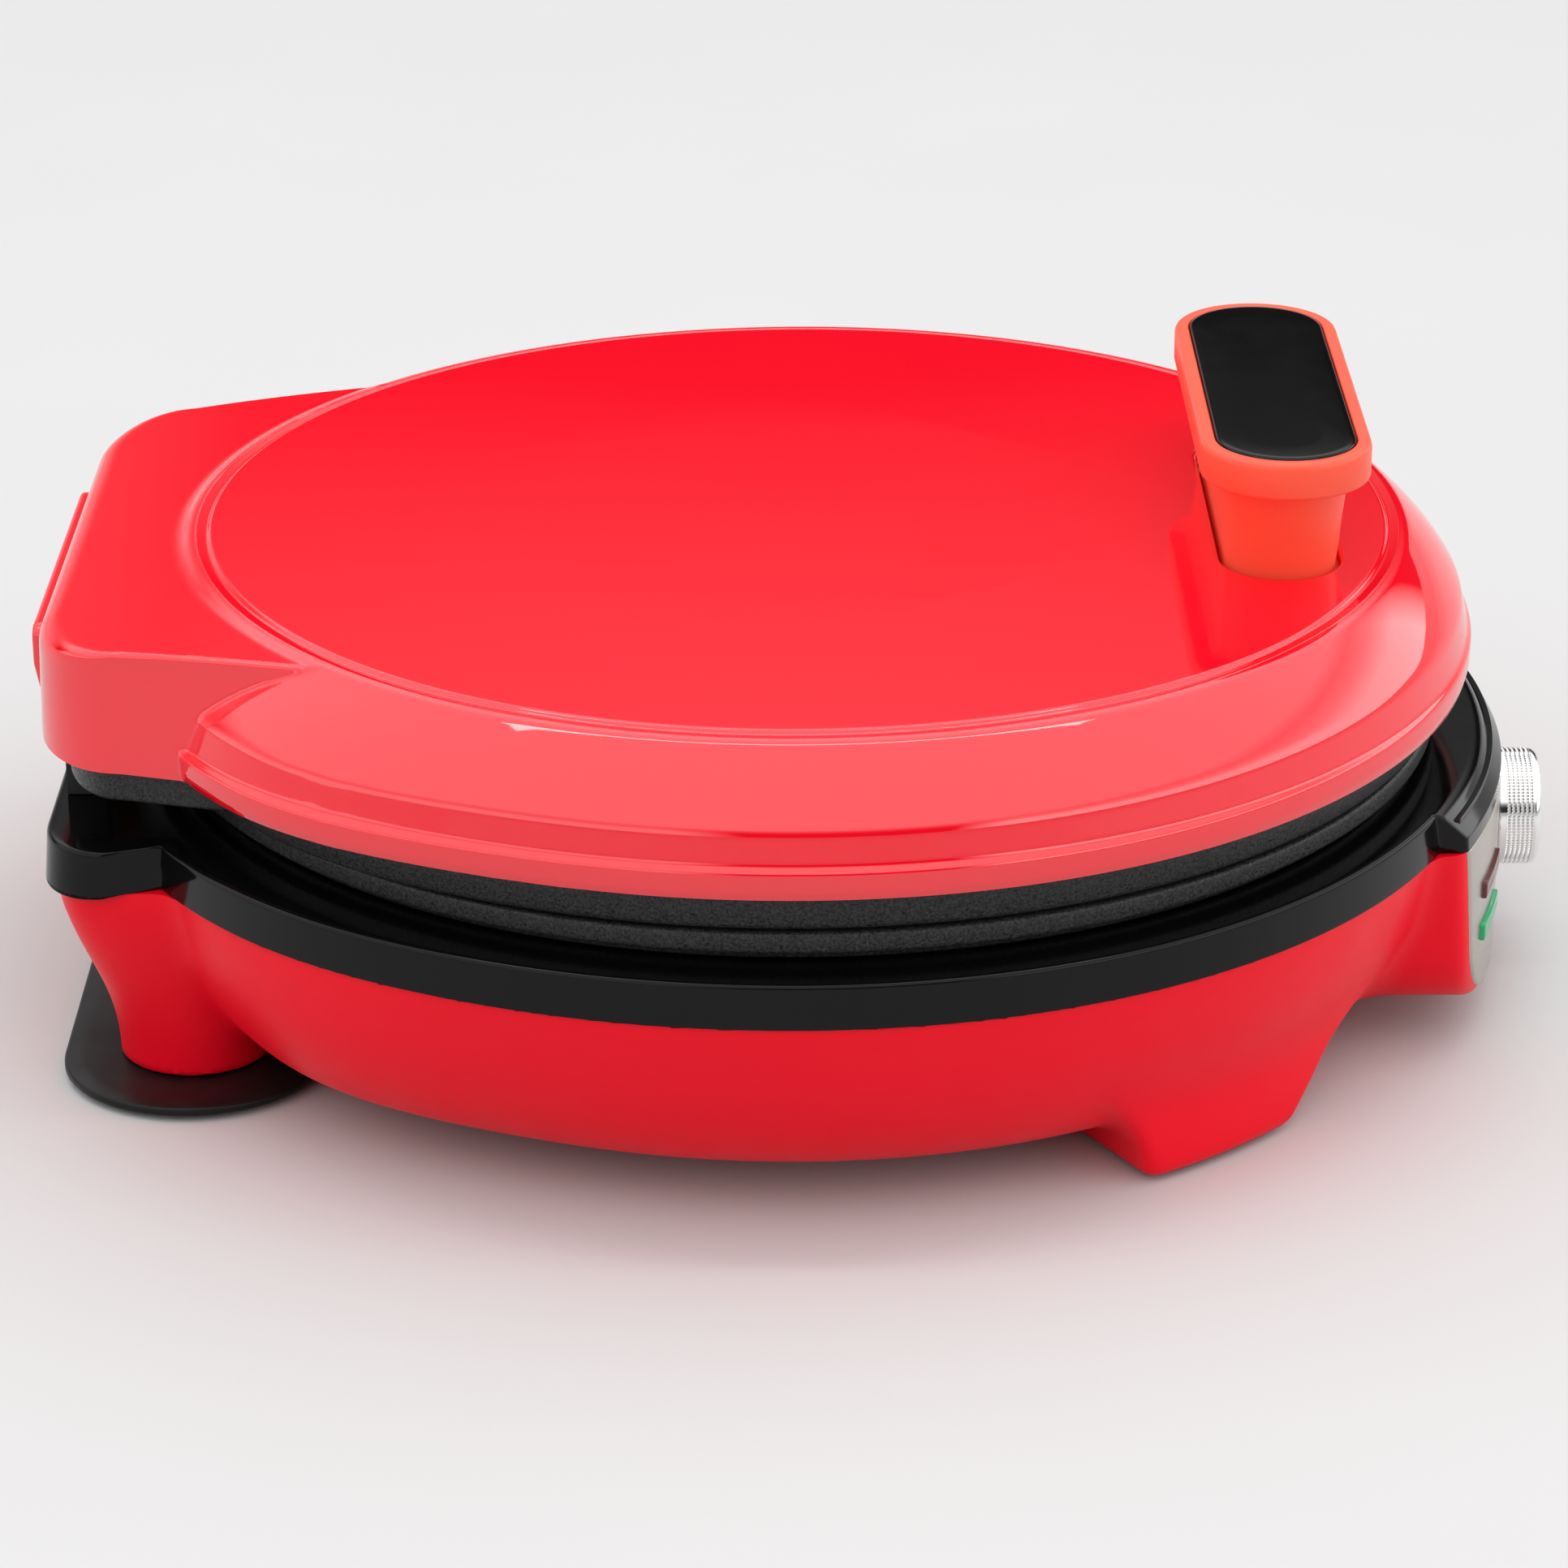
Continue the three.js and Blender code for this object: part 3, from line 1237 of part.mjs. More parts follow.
function handleBody() {
  const foot = wellFloor + clearance;
  const under = handleHeight - gripThickness;
  const [footLength, footWidth] = [stemHalfLength - clearance, stemHalfWidth - clearance];
  const [neckLength, neckWidth] = [stemHalfLength + stemFlare, stemHalfWidth + stemSideFlare];
  const body = loft([
    grip(footLength, footWidth, foot),
    grip(footLength, footWidth, lidCrown - lidDiscDrop),
    grip(neckLength, neckWidth, under - gripRounding),
    grip(neckLength + gripRounding, neckWidth + gripRounding, under),
    grip(gripHalfLength - gripRounding, gripHalfWidth - gripRounding, under + clearance),
    grip(gripHalfLength, gripHalfWidth, under + clearance + gripRounding),
    grip(gripHalfLength, gripHalfWidth, handleHeight - gripRounding),
    grip(gripHalfLength - gripRounding, gripHalfWidth - gripRounding, handleHeight),
  ]);
  const recessOutline = stadium(gripHalfLength - insertMargin, gripHalfWidth - insertMargin, gripSteps);
  const recessLow = handleHeight - insertDepth;
  const recess = prism(moved(recessOutline, 0, handleY), recessLow, handleHeight + overrun);
  const holeTop = foot + handleScrewLength + clearance;
  const holes = posts(handleScrewPlaces, screwRadius + clearance, wellUnderside, holeTop);
  return cut(solid(body), solid(recess), ...holes);
}

function handleInsert() {
  const [long, wide] = [gripHalfLength - insertMargin - clearance, gripHalfWidth - insertMargin - clearance];
  const edge = gripRounding / 2;
  return solid(loft([
    grip(long, wide, handleHeight - insertDepth + clearance),
    grip(long, wide, handleHeight + insertProud - edge),
    grip(long - edge, wide - edge, handleHeight + insertProud),
  ]));
}

// Assembly
const model = new THREE.Group();

function add(name, body, material) {
  const { numProp, vertProperties, triVerts } = body.getMesh();
  const positions = new Float32Array((vertProperties.length / numProp) * 3);
  for (let i = 0; i < positions.length / 3; i++) {
    positions.set(vertProperties.subarray(i * numProp, i * numProp + 3), 3 * i);
  }
  const geometry = new THREE.BufferGeometry();
  geometry.setAttribute("position", new THREE.BufferAttribute(positions, 3));
  geometry.setIndex(new THREE.BufferAttribute(triVerts, 1));
  geometry.computeVertexNormals();
  const mesh = new THREE.Mesh(geometry, material);
  mesh.name = name;
  model.add(mesh);
}

add("base_shell", baseShell(), materials.baseRed);
add("bezel", bezel(), materials.glossBlack);
addScrews("base_screw", coverScrewPlaces, headLevel - clearance - screwHeadHeight, -headLevel + clearance);
add("lower_cooking_plate", lowerPlate(), materials.nonStick);
add("lower_heating_element", heatingElement(lowerBack - clearance - elementTube), materials.steel);
add("lower_heat_reflector", reflector(lowerReflectorTop, -1), materials.aluminium);
addScrews(
  "lower_plate_screw",
  plateScrewPlaces,
  plateHeadLevel - clearance - screwHeadHeight,
  lowerBossBottom - plateHeadLevel + clearance + plateScrewGrip,
);
add("lower_thermal_fuse", fuse(lowerBack - clearance - fuseRadius), materials.ceramic);
add("control_panel", controlPanel(), materials.satinSilver);
add("power_lens", lens(redLensZ), materials.redLens);
add("ready_lens", lens(greenLensZ), materials.greenLens);
add("power_lamp", lamp(redLensZ), materials.neon);
add("ready_lamp", lamp(greenLensZ), materials.neon);
add("thermostat_body", thermostatBody(), materials.blackPlastic);
add("thermostat_bracket", thermostatBracket(), materials.steel);
add("knob_shaft", knobShaft(), materials.steel);
add("knob", knob(), materials.chrome);
add("cord_gland", cordGland(), materials.rubber);
add("terminal_block", terminalBlock(), materials.ceramic);
add("supply_wire", supplyWire(), materials.blackPlastic);
add("control_wire", controlWire(), materials.blackPlastic);
add("cord_wrap_plate", cordWrapPlate(), materials.glossBlack);
addCordPlateScrews();
for (const [side, word] of [[-1, "left"], [1, "right"]]) {
  add(`front_foot_pad_${word}`, frontFootPad(side), materials.rubber);
  add(`rear_foot_pad_${word}`, rearFootPad(side), materials.rubber);
  add(`hinge_bracket_${word}`, hingeBracket(side), materials.blackPlastic);
  add(`hinge_pin_${word}`, hingePin(side), materials.steel);
  add(`hinge_arm_${word}`, hingeArm(side), materials.steel);
}
add("lid_shell", lidShell(), materials.lidRed);
add("hinge_cap", hingeCap(), materials.lidRed);
addHingeCapScrews();
add("upper_cooking_plate", upperPlate(), materials.nonStick);
add("upper_heating_element", heatingElement(upperBack + clearance + elementTube), materials.steel);
add("upper_heat_reflector", reflector(upperReflectorUnderside, 1), materials.aluminium);
addScrews(
  "upper_plate_screw",
  plateScrewPlaces,
  upperReflectorTop + clearance + screwHeadHeight,
  upperReflectorTop - upperBossTop + clearance + plateScrewGrip,
  true,
);
add("upper_thermal_fuse", fuse(upperBack + clearance + fuseRadius), materials.ceramic);
addScrews(
  "lid_screw",
  lidScrewPlaces,
  upperRimBottom + rimRounding - clearance - screwHeadHeight,
  plateWingTop - upperRimBottom - rimRounding + lidScrewGrip,
);
add("handle_body", handleBody(), materials.grip);
add("handle_insert", handleInsert(), materials.glossBlack);
addScrews("handle_screw", handleScrewPlaces, wellUnderside - clearance - screwHeadHeight, handleScrewLength);

model.position.set(0, -(knobFront + capRear) / 2, standHeight);

export default model;
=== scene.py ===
"""Electric pizza maker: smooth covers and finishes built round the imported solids."""

import json
import math

import bmesh
import bpy
import numpy as np
from mathutils import Matrix, Vector


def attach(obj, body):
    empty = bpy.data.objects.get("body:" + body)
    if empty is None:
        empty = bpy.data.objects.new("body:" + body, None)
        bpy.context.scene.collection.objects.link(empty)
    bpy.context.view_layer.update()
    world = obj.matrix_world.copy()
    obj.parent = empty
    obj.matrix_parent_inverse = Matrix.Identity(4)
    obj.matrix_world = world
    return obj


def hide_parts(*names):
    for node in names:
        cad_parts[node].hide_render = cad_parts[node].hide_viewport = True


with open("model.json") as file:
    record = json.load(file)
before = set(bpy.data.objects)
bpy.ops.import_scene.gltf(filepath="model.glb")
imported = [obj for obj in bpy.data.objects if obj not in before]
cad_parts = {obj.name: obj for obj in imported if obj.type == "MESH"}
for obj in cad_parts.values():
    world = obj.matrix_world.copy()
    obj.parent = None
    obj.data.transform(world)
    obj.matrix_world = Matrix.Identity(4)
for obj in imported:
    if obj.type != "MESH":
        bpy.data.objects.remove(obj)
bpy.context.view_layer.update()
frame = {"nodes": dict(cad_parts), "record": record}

# Sizes in mm, heights from the bezel's lower edge, the front at -Y. SHIFT takes them to the
# part's own frame.
SHIFT = np.array([0.0, 1.45, 57.2])
CAVITY, RIM, BODY, REAR, BASE_INSET = 150.5, 157.0, 168.0, 175.5, 3.2
STRETCH = REAR / BODY - 1
BEZEL_TOP, LID_EDGE, LID_TOP = 10.6, 30.0, 62.2
BODY_WING = dict(half=93.8, neck=88.5, neck_y=148.0, rear=178.0, long=18.0, deep=15.0)
LID_WING = dict(half=91.2, neck=104.8, neck_y=110.0, rear=179.2, long=34.0, deep=21.5)
WING_TOP, WING_LEAN, WING_CORNER = 60.0, 26.0, (93.0, 180.0)
WING_DROP, DROP_START, DROP_LENGTH = 2.8, 110.0, 68.5
SIDE_EDGE, REAR_EDGE = 1.6, 5.5  # roundings of the lid wing's top edges
LID_FULLER, BEZEL_FULLER = 0.031, 0.009
LID_WALL, BASE_WALL = 2.4, 3.2
HANDLE_Y = -115.0
WELL_HALF, WELL_WIDE, WELL_FLOOR = 36.4, 14.5, 57.4
HINGE_BAY, WING_INNER = 60.3, 155.4
LIP_RADII, LIP_HALVES, LIP_LOW = (174.0, 168.3), (72.0, 74.4), 3.8
HOUSING, HOUSING_HALVES, HOUSING_LOW = 173.5, (64.8, 73.6), -46.0
PANEL_BACK, PANEL_FACE = 171.3, 174.1
KNOB_Z, KNOB_BACK = -18.5, 173.8
DIMPLES, DIMPLE_START, DIMPLE_STEP, DIMPLE_DEPTH = 108, 2.1, 1.13, 0.4
RED_LAMP_Z, GREEN_LAMP_Z = -16.9, -28.0
COLUMN_X, COLUMN_Y, COLUMN_FOOT, COLUMN_RADIUS = 62.0, 146.0, -53.2, 18.5
COLUMN_OUT, COLUMN_IN, COLUMN_BACK, COLUMN_FRONT = 29.6, 29.0, 29.8, 30.5  # reach at the top
FEET_OUTER, FEET_INNER, FEET_LOW, FEET_RISE = 155.5, 119.0, -54.7, 23.7
FEET_FROM, FEET_TO, FEET_BACK, FEET_FORWARD = 31, 48.5, 4.2, 9  # degrees from the side
SCREWS, SCREW_TOP, HOLE = ((26.0, 163.0), (45.3, -153.0)), -12.0, 3.3
BOWL_SCREWS, BOWL_SCREW_TOP = 60.0, -20.0
VENTS, VENT_MIDDLE, VENT_LONG, VENT_WIDE, VENT_TOP = 10, 43, 9, 2, -42
BASE_TOP, WING_FOOT, HOUSING_FOOT, BOWL_EDGE, BOWL_FOOT = -0.3, -17.3, -46.4, -47.6, -48.5
FOOT = -55.7
INSIDE_LID, INSIDE_BEZEL = (100.0, 20.0), (157.0, 1.8)
WELD = 2e-6      # metres
FAR = 1e3        # a distance that never wins a join
DEGREE = 0.01745  # radians


# Numbers: distances, joins and outlines
def smooth_min(a, b, k):
    """The smaller of two distances, rounded over k where they meet."""
    h = np.maximum(k - np.abs(a - b), 0) / k
    return np.minimum(a, b) - h * h * k / 4


def smooth_max(a, b, k):
    return -smooth_min(-a, -b, k)


def ease(t):
    """A slow start and a slow end between 0 and 1."""
    return t * t * (3 - 2 * t)


def rim_share(radius, start):
    """0 inside the start radius, 1 at the body's radius."""
    share = (radius - start) / (BODY - start)
    return np.minimum(smooth_max(share, np.zeros_like(share), 0.15), 1)


def quarters(x, y):
    """1 in the middle of each rear quarter, falling to 0 at the sides and at the rear."""
    return np.where(y > 0, np.sin(2 * np.arctan2(y, x)) ** 8, 0)


def drawn_out(x, y, fuller):
    """Points of round rings moved as the real body is: longer to the rear, its quarters fuller."""
    share = rim_share(np.hypot(x, y), CAVITY)
    y = np.where(y > 0, y * (1 + STRETCH * share), y)
    swell = 1 + fuller * share * quarters(x, y)
    return x * swell, y * swell


def round_radius(x, y, start, fuller):
    """Radius of the ring that drawn_out moves to (x, y), found in damped steps."""
    corner = fuller * quarters(x, y)
    radius = np.hypot(x, y)
    for _ in range(5):
        share = rim_share(radius, start)
        behind = np.where(y > 0, y / (1 + STRETCH * share), y)
        ring = np.hypot(x, behind) / (1 + corner * share)
        radius = radius + 0.78 * (ring - radius)
    return radius


def outline(wing, inset, rear_inset=None, steps=60):
    """Right half of a wing's outline, from its neck to the middle of its rear edge."""
    rear_inset = inset if rear_inset is None else rear_inset
    long = max(wing["long"] - inset, wing["long"] / 4)
    deep = max(wing["deep"] - rear_inset, wing["deep"] / 4)
    x, y = wing["half"] - inset - long, wing["rear"] - rear_inset - deep
    turn = np.linspace(0, math.pi / 2, steps)
    neck = wing["neck"] - inset
    points = [(neck, 0.0), (neck, wing["neck_y"])]
    points += [(x + long * math.cos(a), y + deep * math.sin(a)) for a in turn]
    return np.array(points + [(0.0, y + deep)])


def along(points, step=0.4):
    """The same line with points close together."""
    points = np.asarray(points, float)
    lengths = np.hypot(*np.diff(points, axis=0).T)
    at = np.concatenate([[0], np.cumsum(lengths)])
    s = np.linspace(0, at[-1], max(int(at[-1] / step), 2))
    return np.stack([np.interp(s, at, points[:, i]) for i in (0, 1)], -1)


def wing_radius(wing, inset, rear_inset=None):
    """Distance from the middle to a wing's outline, as a function of x and y."""
    line = along(outline(wing, inset, rear_inset))
    angles, radii = np.arctan2(line[:, 1], line[:, 0]), np.hypot(line[:, 0], line[:, 1])
    return lambda x, y: np.interp(np.arctan2(y, np.abs(x)), angles, radii)


def rounded(points, radius, steps=5):
    """An open line with its inner corners rounded."""
    points = [np.array(p, float) for p in points]
    line = [points[0]]
    for a, b, c in zip(points, points[1:], points[2:]):
        before, after = a - b, c - b
        reach = min(radius, np.linalg.norm(before) / 2, np.linalg.norm(after) / 2)
        p = b + before / np.linalg.norm(before) * reach
        q = b + after / np.linalg.norm(after) * reach
        for t in np.linspace(0, 1, steps):
            line.append(p * (1 - t) ** 2 + 2 * b * t * (1 - t) + q * t * t)
    return np.array(line + [points[-1]])


# Meshes
def place(points):
    """Build millimetres as metres of the part's frame."""
    return (np.asarray(points, float) + SHIFT) / 1000


def piece(name, points, faces, body, material, nodes, crease=38):
    """A smooth visible piece that rides on a body and stands in for the given nodes."""
    mesh = bpy.data.meshes.new(name)
    mesh.from_pydata(place(points).tolist(), [], faces)
    work = bmesh.new()
    work.from_mesh(mesh)
    bmesh.ops.remove_doubles(work, verts=work.verts, dist=WELD)
    bmesh.ops.recalc_face_normals(work, faces=work.faces)
    work.to_mesh(mesh)
    work.free()
    mesh.polygons.foreach_set("use_smooth", [True] * len(mesh.polygons))
    mesh.set_sharp_from_angle(angle=math.radians(crease))
    mesh.materials.append(materials[material])
    obj = bpy.data.objects.new(name, mesh)
    bpy.context.scene.collection.objects.link(obj)
    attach(obj, body)
    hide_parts(*nodes)


def skin(rows, loop=False):
    """A closed skin over closed rows of points; the ends are filled unless the rows loop."""
    rows = np.asarray(rows, float)
    m, n = rows.shape[:2]
    points = rows.reshape(-1, 3)
    i, j = np.arange(m if loop else m - 1)[:, None], np.arange(n)[None, :]
    here, there = (i % m) * n, ((i + 1) % m) * n
    next_j = (j + 1) % n
    quads = np.stack([here + j, here + next_j, there + next_j, there + j], -1).reshape(-1, 4)
    faces = quads.tolist()
    if not loop:
        middles = [rows[0].mean(0), rows[-1].mean(0)]
        points = np.vstack([points, middles])
        for end, base in ((0, 0), (1, (m - 1) * n)):
            faces += [[base + k, base + (k + 1) % n, m * n + end] for k in range(n)]
    return points, faces


def merge(*skins):
    """Several closed skins as one mesh."""
    points, faces, count = [], [], 0
    for p, f in skins:
        points.append(p)
        faces += [[k + count for k in face] for face in f]
        count += len(p)
    return np.vstack(points), faces


def ring(angles, radius, z):
    """A level circle of points."""
    flat = [radius * np.cos(angles), radius * np.sin(angles)]
    return np.column_stack([*flat, np.full(len(angles), z)])


def turned(profile, theta, fuller=None):
    """Rows of a lathe from (radius, height) points, drawn out like the body if fuller is given."""
    rows = []
    for radius, z in profile:
        x, y = radius * np.cos(theta), radius * np.sin(theta)
        if fuller is not None:
            x, y = drawn_out(x, y, fuller)
        rows.append(np.stack([x, y, np.full_like(x, z)], -1))
    return rows


def trace(field, theta, origin, angles, reach=120.0):
    """Radius and height where rays from an inner point leave a solid, for each direction theta."""
    th, ph = theta[None, :], angles[:, None]
    shape = (len(angles), len(theta))
    low, high = np.zeros(shape), np.full(shape, reach)
    for _ in range(24):
        mid = (low + high) / 2
        r, z = origin[0] + mid * np.cos(ph), origin[1] + mid * np.sin(ph)
        inside = field(r * np.cos(th), r * np.sin(th), z) < 0
        low, high = np.where(inside, mid, low), np.where(inside, high, mid)
    return origin[0] + low * np.cos(ph), origin[1] + low * np.sin(ph)


def settle(r, z, theta, count, care=5.0):
    """Rows along traced profiles, closer together where they bend: care is mm for each radian."""
    dr, dz = np.diff(r, axis=0), np.diff(z, axis=0)
    bend = np.abs(np.diff(np.unwrap(np.arctan2(dz, dr), axis=0), axis=0))
    bend = np.minimum(np.vstack([bend, bend[-1:]]), 0.5)
    measure = np.vstack([np.zeros(len(theta)), np.cumsum(np.hypot(dr, dz) + care * bend, axis=0)])
    measure /= measure[-1]
    share = np.linspace(0, 1, count)
    rows = np.empty((count, len(theta), 3))
    for k, angle in enumerate(theta):
        radius = np.interp(share, measure[:, k], r[:, k])
        rows[:, k, 0], rows[:, k, 1] = radius * math.cos(angle), radius * math.sin(angle)
        rows[:, k, 2] = np.interp(share, measure[:, k], z[:, k])
    return list(rows)


def directions(step, dense, spots):
    """Angles round the part, denser in the given spans of degrees and in their mirror images."""
    parts = [np.arange(0, 360, step)]
    for low, high in spots:
        parts += [np.arange(low, high, dense), np.arange(180 - high, 180 - low, dense)]
    degrees = np.unique(np.round(np.concatenate(parts) % 360, 3))
    keep = np.concatenate([[True], np.diff(degrees) > dense * 0.6])
    return np.radians(degrees[keep])


def contour(field, low, high, step, block=4):
    """A closed skin round field < 0 with sharp edges: one point in each cell it crosses."""
    counts = [block * (int((b - a) / step / block) + 2) for a, b in zip(low, high)]
    axes = [a - step + step * np.arange(n) for a, n in zip(low, counts)]
    middle = [axis.reshape(-1, block).mean(1) for axis in axes]
    value = field(*np.meshgrid(*middle, indexing="ij"))
    for axis in range(3):
        value = np.repeat(value, block, axis)
    margin = 1.2 * block * step + step
    near = np.argwhere(np.abs(value) < margin)
    value[tuple(near.T)] = field(*[axes[k][near[:, k]] for k in range(3)])
    cells = np.array(value.shape) - 1
    spots, rings, forward = [], [], []
    for axis in range(3):
        here, there = [slice(None)] * 3, [slice(None)] * 3
        here[axis], there[axis] = slice(0, -1), slice(1, None)
        a, b = value[tuple(here)], value[tuple(there)]
        where = np.argwhere((a < 0) != (b < 0))
        where = where[np.all((where > 0) & (where < cells), axis=1)]
        va, vb = a[tuple(where.T)], b[tuple(where.T)]
        spot = where.astype(float)
        spot[:, axis] += va / (va - vb)
        spots.append(spot * step + [line[0] for line in axes])
        u, v = [k for k in range(3) if k != axis]
        cell = np.repeat(where[:, None, :], 4, 1)
        cell[:, 1:3, u] -= 1
        cell[:, 2:4, v] -= 1
        rings.append(cell)
        forward.append((va < 0) == (axis != 1))
    spots, rings, forward = np.concatenate(spots), np.concatenate(rings), np.concatenate(forward)
    h = step / 20
    slope = np.stack([field(*(spots + e).T) - field(*(spots - e).T) for e in np.eye(3) * h], -1)
    slope /= np.maximum(np.linalg.norm(slope, axis=1, keepdims=True), 1e-9)
    code = (rings * [cells[1] * cells[2], cells[2], 1]).sum(-1)
    used, number = np.unique(code, return_inverse=True)
    number = number.reshape(code.shape)
    centre, hits = np.zeros((len(used), 3)), np.zeros(len(used))
    for k in range(4):
        np.add.at(centre, number[:, k], spots)
        np.add.at(hits, number[:, k], 1)
    centre /= hits[:, None]
    square, side = np.zeros((len(used), 3, 3)), np.zeros((len(used), 3))
    for k in range(4):
        away = (slope * (spots - centre[number[:, k]])).sum(1)
        np.add.at(square, number[:, k], slope[:, :, None] * slope[:, None, :])
        np.add.at(side, number[:, k], slope * away[:, None])
    hold, limit = 0.06 * np.eye(3), 0.7 * step
    move = np.linalg.solve(square + hold, side[:, :, None])[:, :, 0]
    points = centre + np.clip(move, -limit, limit)
    faces = np.where(forward[:, None], number, number[:, ::-1])
    return points, faces.tolist()


def stadium(long, wide, count):
    """Rounded bar outline, points spread evenly, centred on the origin."""
    a = long - wide
    turn = np.linspace(-math.pi / 2, math.pi / 2, 40)
    right = [(a + wide * math.cos(t), wide * math.sin(t)) for t in turn]
    line = np.array(right + [(-x, -y) for x, y in right] + right[:1])
    lengths = np.concatenate([[0], np.cumsum(np.hypot(*np.diff(line, axis=0).T))])
    s = np.linspace(0, lengths[-1], count, endpoint=False)
    return np.stack([np.interp(s, lengths, line[:, i]) for i in (0, 1)], -1)


def bar(levels, centre, count):
    """Rows of a rounded bar: levels of (half length, half width, height)."""
    rows = []
    for long, wide, z in levels:
        flat = stadium(long, wide, count) + centre
        rows.append(np.column_stack([flat, np.full(count, z)]))
    return rows


# Finishes
materials = {}


def finish(name, colour, roughness, *, tone, bumps, metallic=0.0, specular=0.5, coat=0.0,
           coat_roughness=0.05, coat_ior=1.5, spread=0.0, rough_scale=90.0, tone_scale=60.0,
           tone_amount=0.5, stretch=(1, 1, 1)):
    """A surface with grain, uneven gloss and a slight change of tone, in metres of the object."""
    material = bpy.data.materials.new(name)
    material.use_nodes = True
    nodes, links = material.node_tree.nodes, material.node_tree.links
    shader = nodes["Principled BSDF"]
    shader.inputs["Base Color"].default_value = (*colour, 1)
    shader.inputs["Roughness"].default_value = roughness
    shader.inputs["Metallic"].default_value = metallic
    shader.inputs["Coat Weight"].default_value = coat
    shader.inputs["Coat Roughness"].default_value = coat_roughness
    shader.inputs["Coat IOR"].default_value = coat_ior
    shader.inputs["Specular IOR Level"].default_value = specular
    where = nodes.new("ShaderNodeTexCoord")
    mapping = nodes.new("ShaderNodeMapping")
    mapping.inputs["Scale"].default_value = stretch
    links.new(where.outputs["Object"], mapping.inputs["Vector"])

    def noise(scale, detail=3.0, rough=0.55):
        node = nodes.new("ShaderNodeTexNoise")
        node.inputs["Scale"].default_value = scale
        node.inputs["Detail"].default_value = detail
        node.inputs["Roughness"].default_value = rough
        links.new(mapping.outputs["Vector"], node.inputs["Vector"])
        return node.outputs["Fac"]

    def ranged(value, low, high):
        """The middle of the noise's range, where nearly all of it lies, taken to low and high."""
        node = nodes.new("ShaderNodeMapRange")
        node.inputs["From Min"].default_value = 0.3
        node.inputs["From Max"].default_value = 0.7
        node.inputs["To Min"].default_value = low
        node.inputs["To Max"].default_value = high
        links.new(value, node.inputs["Value"])
        return node.outputs["Result"]

    if spread:
        links.new(ranged(noise(rough_scale, 4.0), roughness - spread, roughness + spread),
                  shader.inputs["Roughness"])
    mix = nodes.new("ShaderNodeMix")
    mix.data_type = "RGBA"
    mix.inputs["A"].default_value = (*colour, 1)
    mix.inputs["B"].default_value = (*tone, 1)
    links.new(ranged(noise(tone_scale, 5.0), 0.0, tone_amount), mix.inputs["Factor"])
    links.new(mix.outputs["Result"], shader.inputs["Base Color"])
    normal = None
    for scale, strength, distance in bumps:
        bump = nodes.new("ShaderNodeBump")
        bump.inputs["Strength"].default_value = strength
        bump.inputs["Distance"].default_value = distance
        links.new(noise(scale, 2.0), bump.inputs["Height"])
        if normal:
            links.new(normal, bump.inputs["Normal"])
        normal = bump.outputs["Normal"]
    links.new(normal, shader.inputs["Normal"])
    materials[name] = material


finish("lid_red", (0.90, 0.0020, 0.0165), 0.36, coat=1.0, coat_roughness=0.035, coat_ior=1.8,
       specular=0.0, spread=0.03, tone=(0.85, 0.0018, 0.0150), tone_scale=14, tone_amount=0.35,
       bumps=[(420, 0.02, 0.0002)])
finish("base_red", (0.95, 0.0022, 0.0180), 0.40, specular=0.20, spread=0.04,
       tone=(0.90, 0.0020, 0.0165), tone_scale=22, tone_amount=0.4, bumps=[(1600, 0.05, 0.0002)])
finish("grip_red", (1.0, 0.105, 0.052), 0.42, specular=0.4, spread=0.05,
       tone=(0.96, 0.092, 0.045), tone_scale=40, tone_amount=0.4, bumps=[(2200, 0.06, 0.0002)])
finish("gloss_black", (0.0025, 0.0024, 0.0024), 0.09, specular=0.20, spread=0.025,
       tone=(0.0045, 0.0040, 0.0038), tone_scale=30, bumps=[(500, 0.012, 0.0002)])
finish("nonstick_black", (0.0030, 0.0030, 0.0035), 0.40, specular=0.26, spread=0.14,
       rough_scale=1200, tone=(0.105, 0.105, 0.110), tone_scale=1500,
       bumps=[(1100, 0.45, 0.0004)])
finish("satin_silver", (0.50, 0.455, 0.41), 0.26, metallic=1.0, spread=0.02, stretch=(1, 1, 4),
       tone=(0.45, 0.41, 0.37), tone_amount=0.3, bumps=[(40, 0.01, 0.0001)])
finish("knob_chrome", (0.90, 0.90, 0.905), 0.08, metallic=1.0, spread=0.03,
       tone=(0.80, 0.80, 0.81), tone_scale=120, tone_amount=0.4, bumps=[(700, 0.01, 0.0002)])
finish("red_lens", (0.085, 0.010, 0.007), 0.12, spread=0.03,
       tone=(0.13, 0.014, 0.010), tone_scale=160, tone_amount=0.6, bumps=[(900, 0.01, 0.0002)])
finish("green_lens", (0.0, 0.34, 0.12), 0.12, spread=0.03,
       tone=(0.01, 0.42, 0.17), tone_scale=160, tone_amount=0.6, bumps=[(900, 0.01, 0.0002)])
finish("neon_glass", (0.70, 0.34, 0.16), 0.12, coat=0.5, spread=0.03,
       tone=(0.5, 0.2, 0.1), tone_scale=300, bumps=[(900, 0.02, 0.0002)])
finish("steel", (0.50, 0.505, 0.51), 0.32, metallic=1.0, spread=0.08, rough_scale=400,
       tone=(0.34, 0.345, 0.35), tone_scale=200, bumps=[(1200, 0.05, 0.0002)])
finish("reflector_aluminium", (0.70, 0.705, 0.71), 0.38, metallic=1.0, spread=0.08,
       stretch=(1, 12, 1), tone=(0.56, 0.56, 0.57), bumps=[(300, 0.06, 0.0002)])
finish("black_plastic", (0.0060, 0.0050, 0.0050), 0.36, specular=0.2, spread=0.06,
       tone=(0.018, 0.018, 0.019), tone_scale=80, bumps=[(1500, 0.08, 0.0002)])
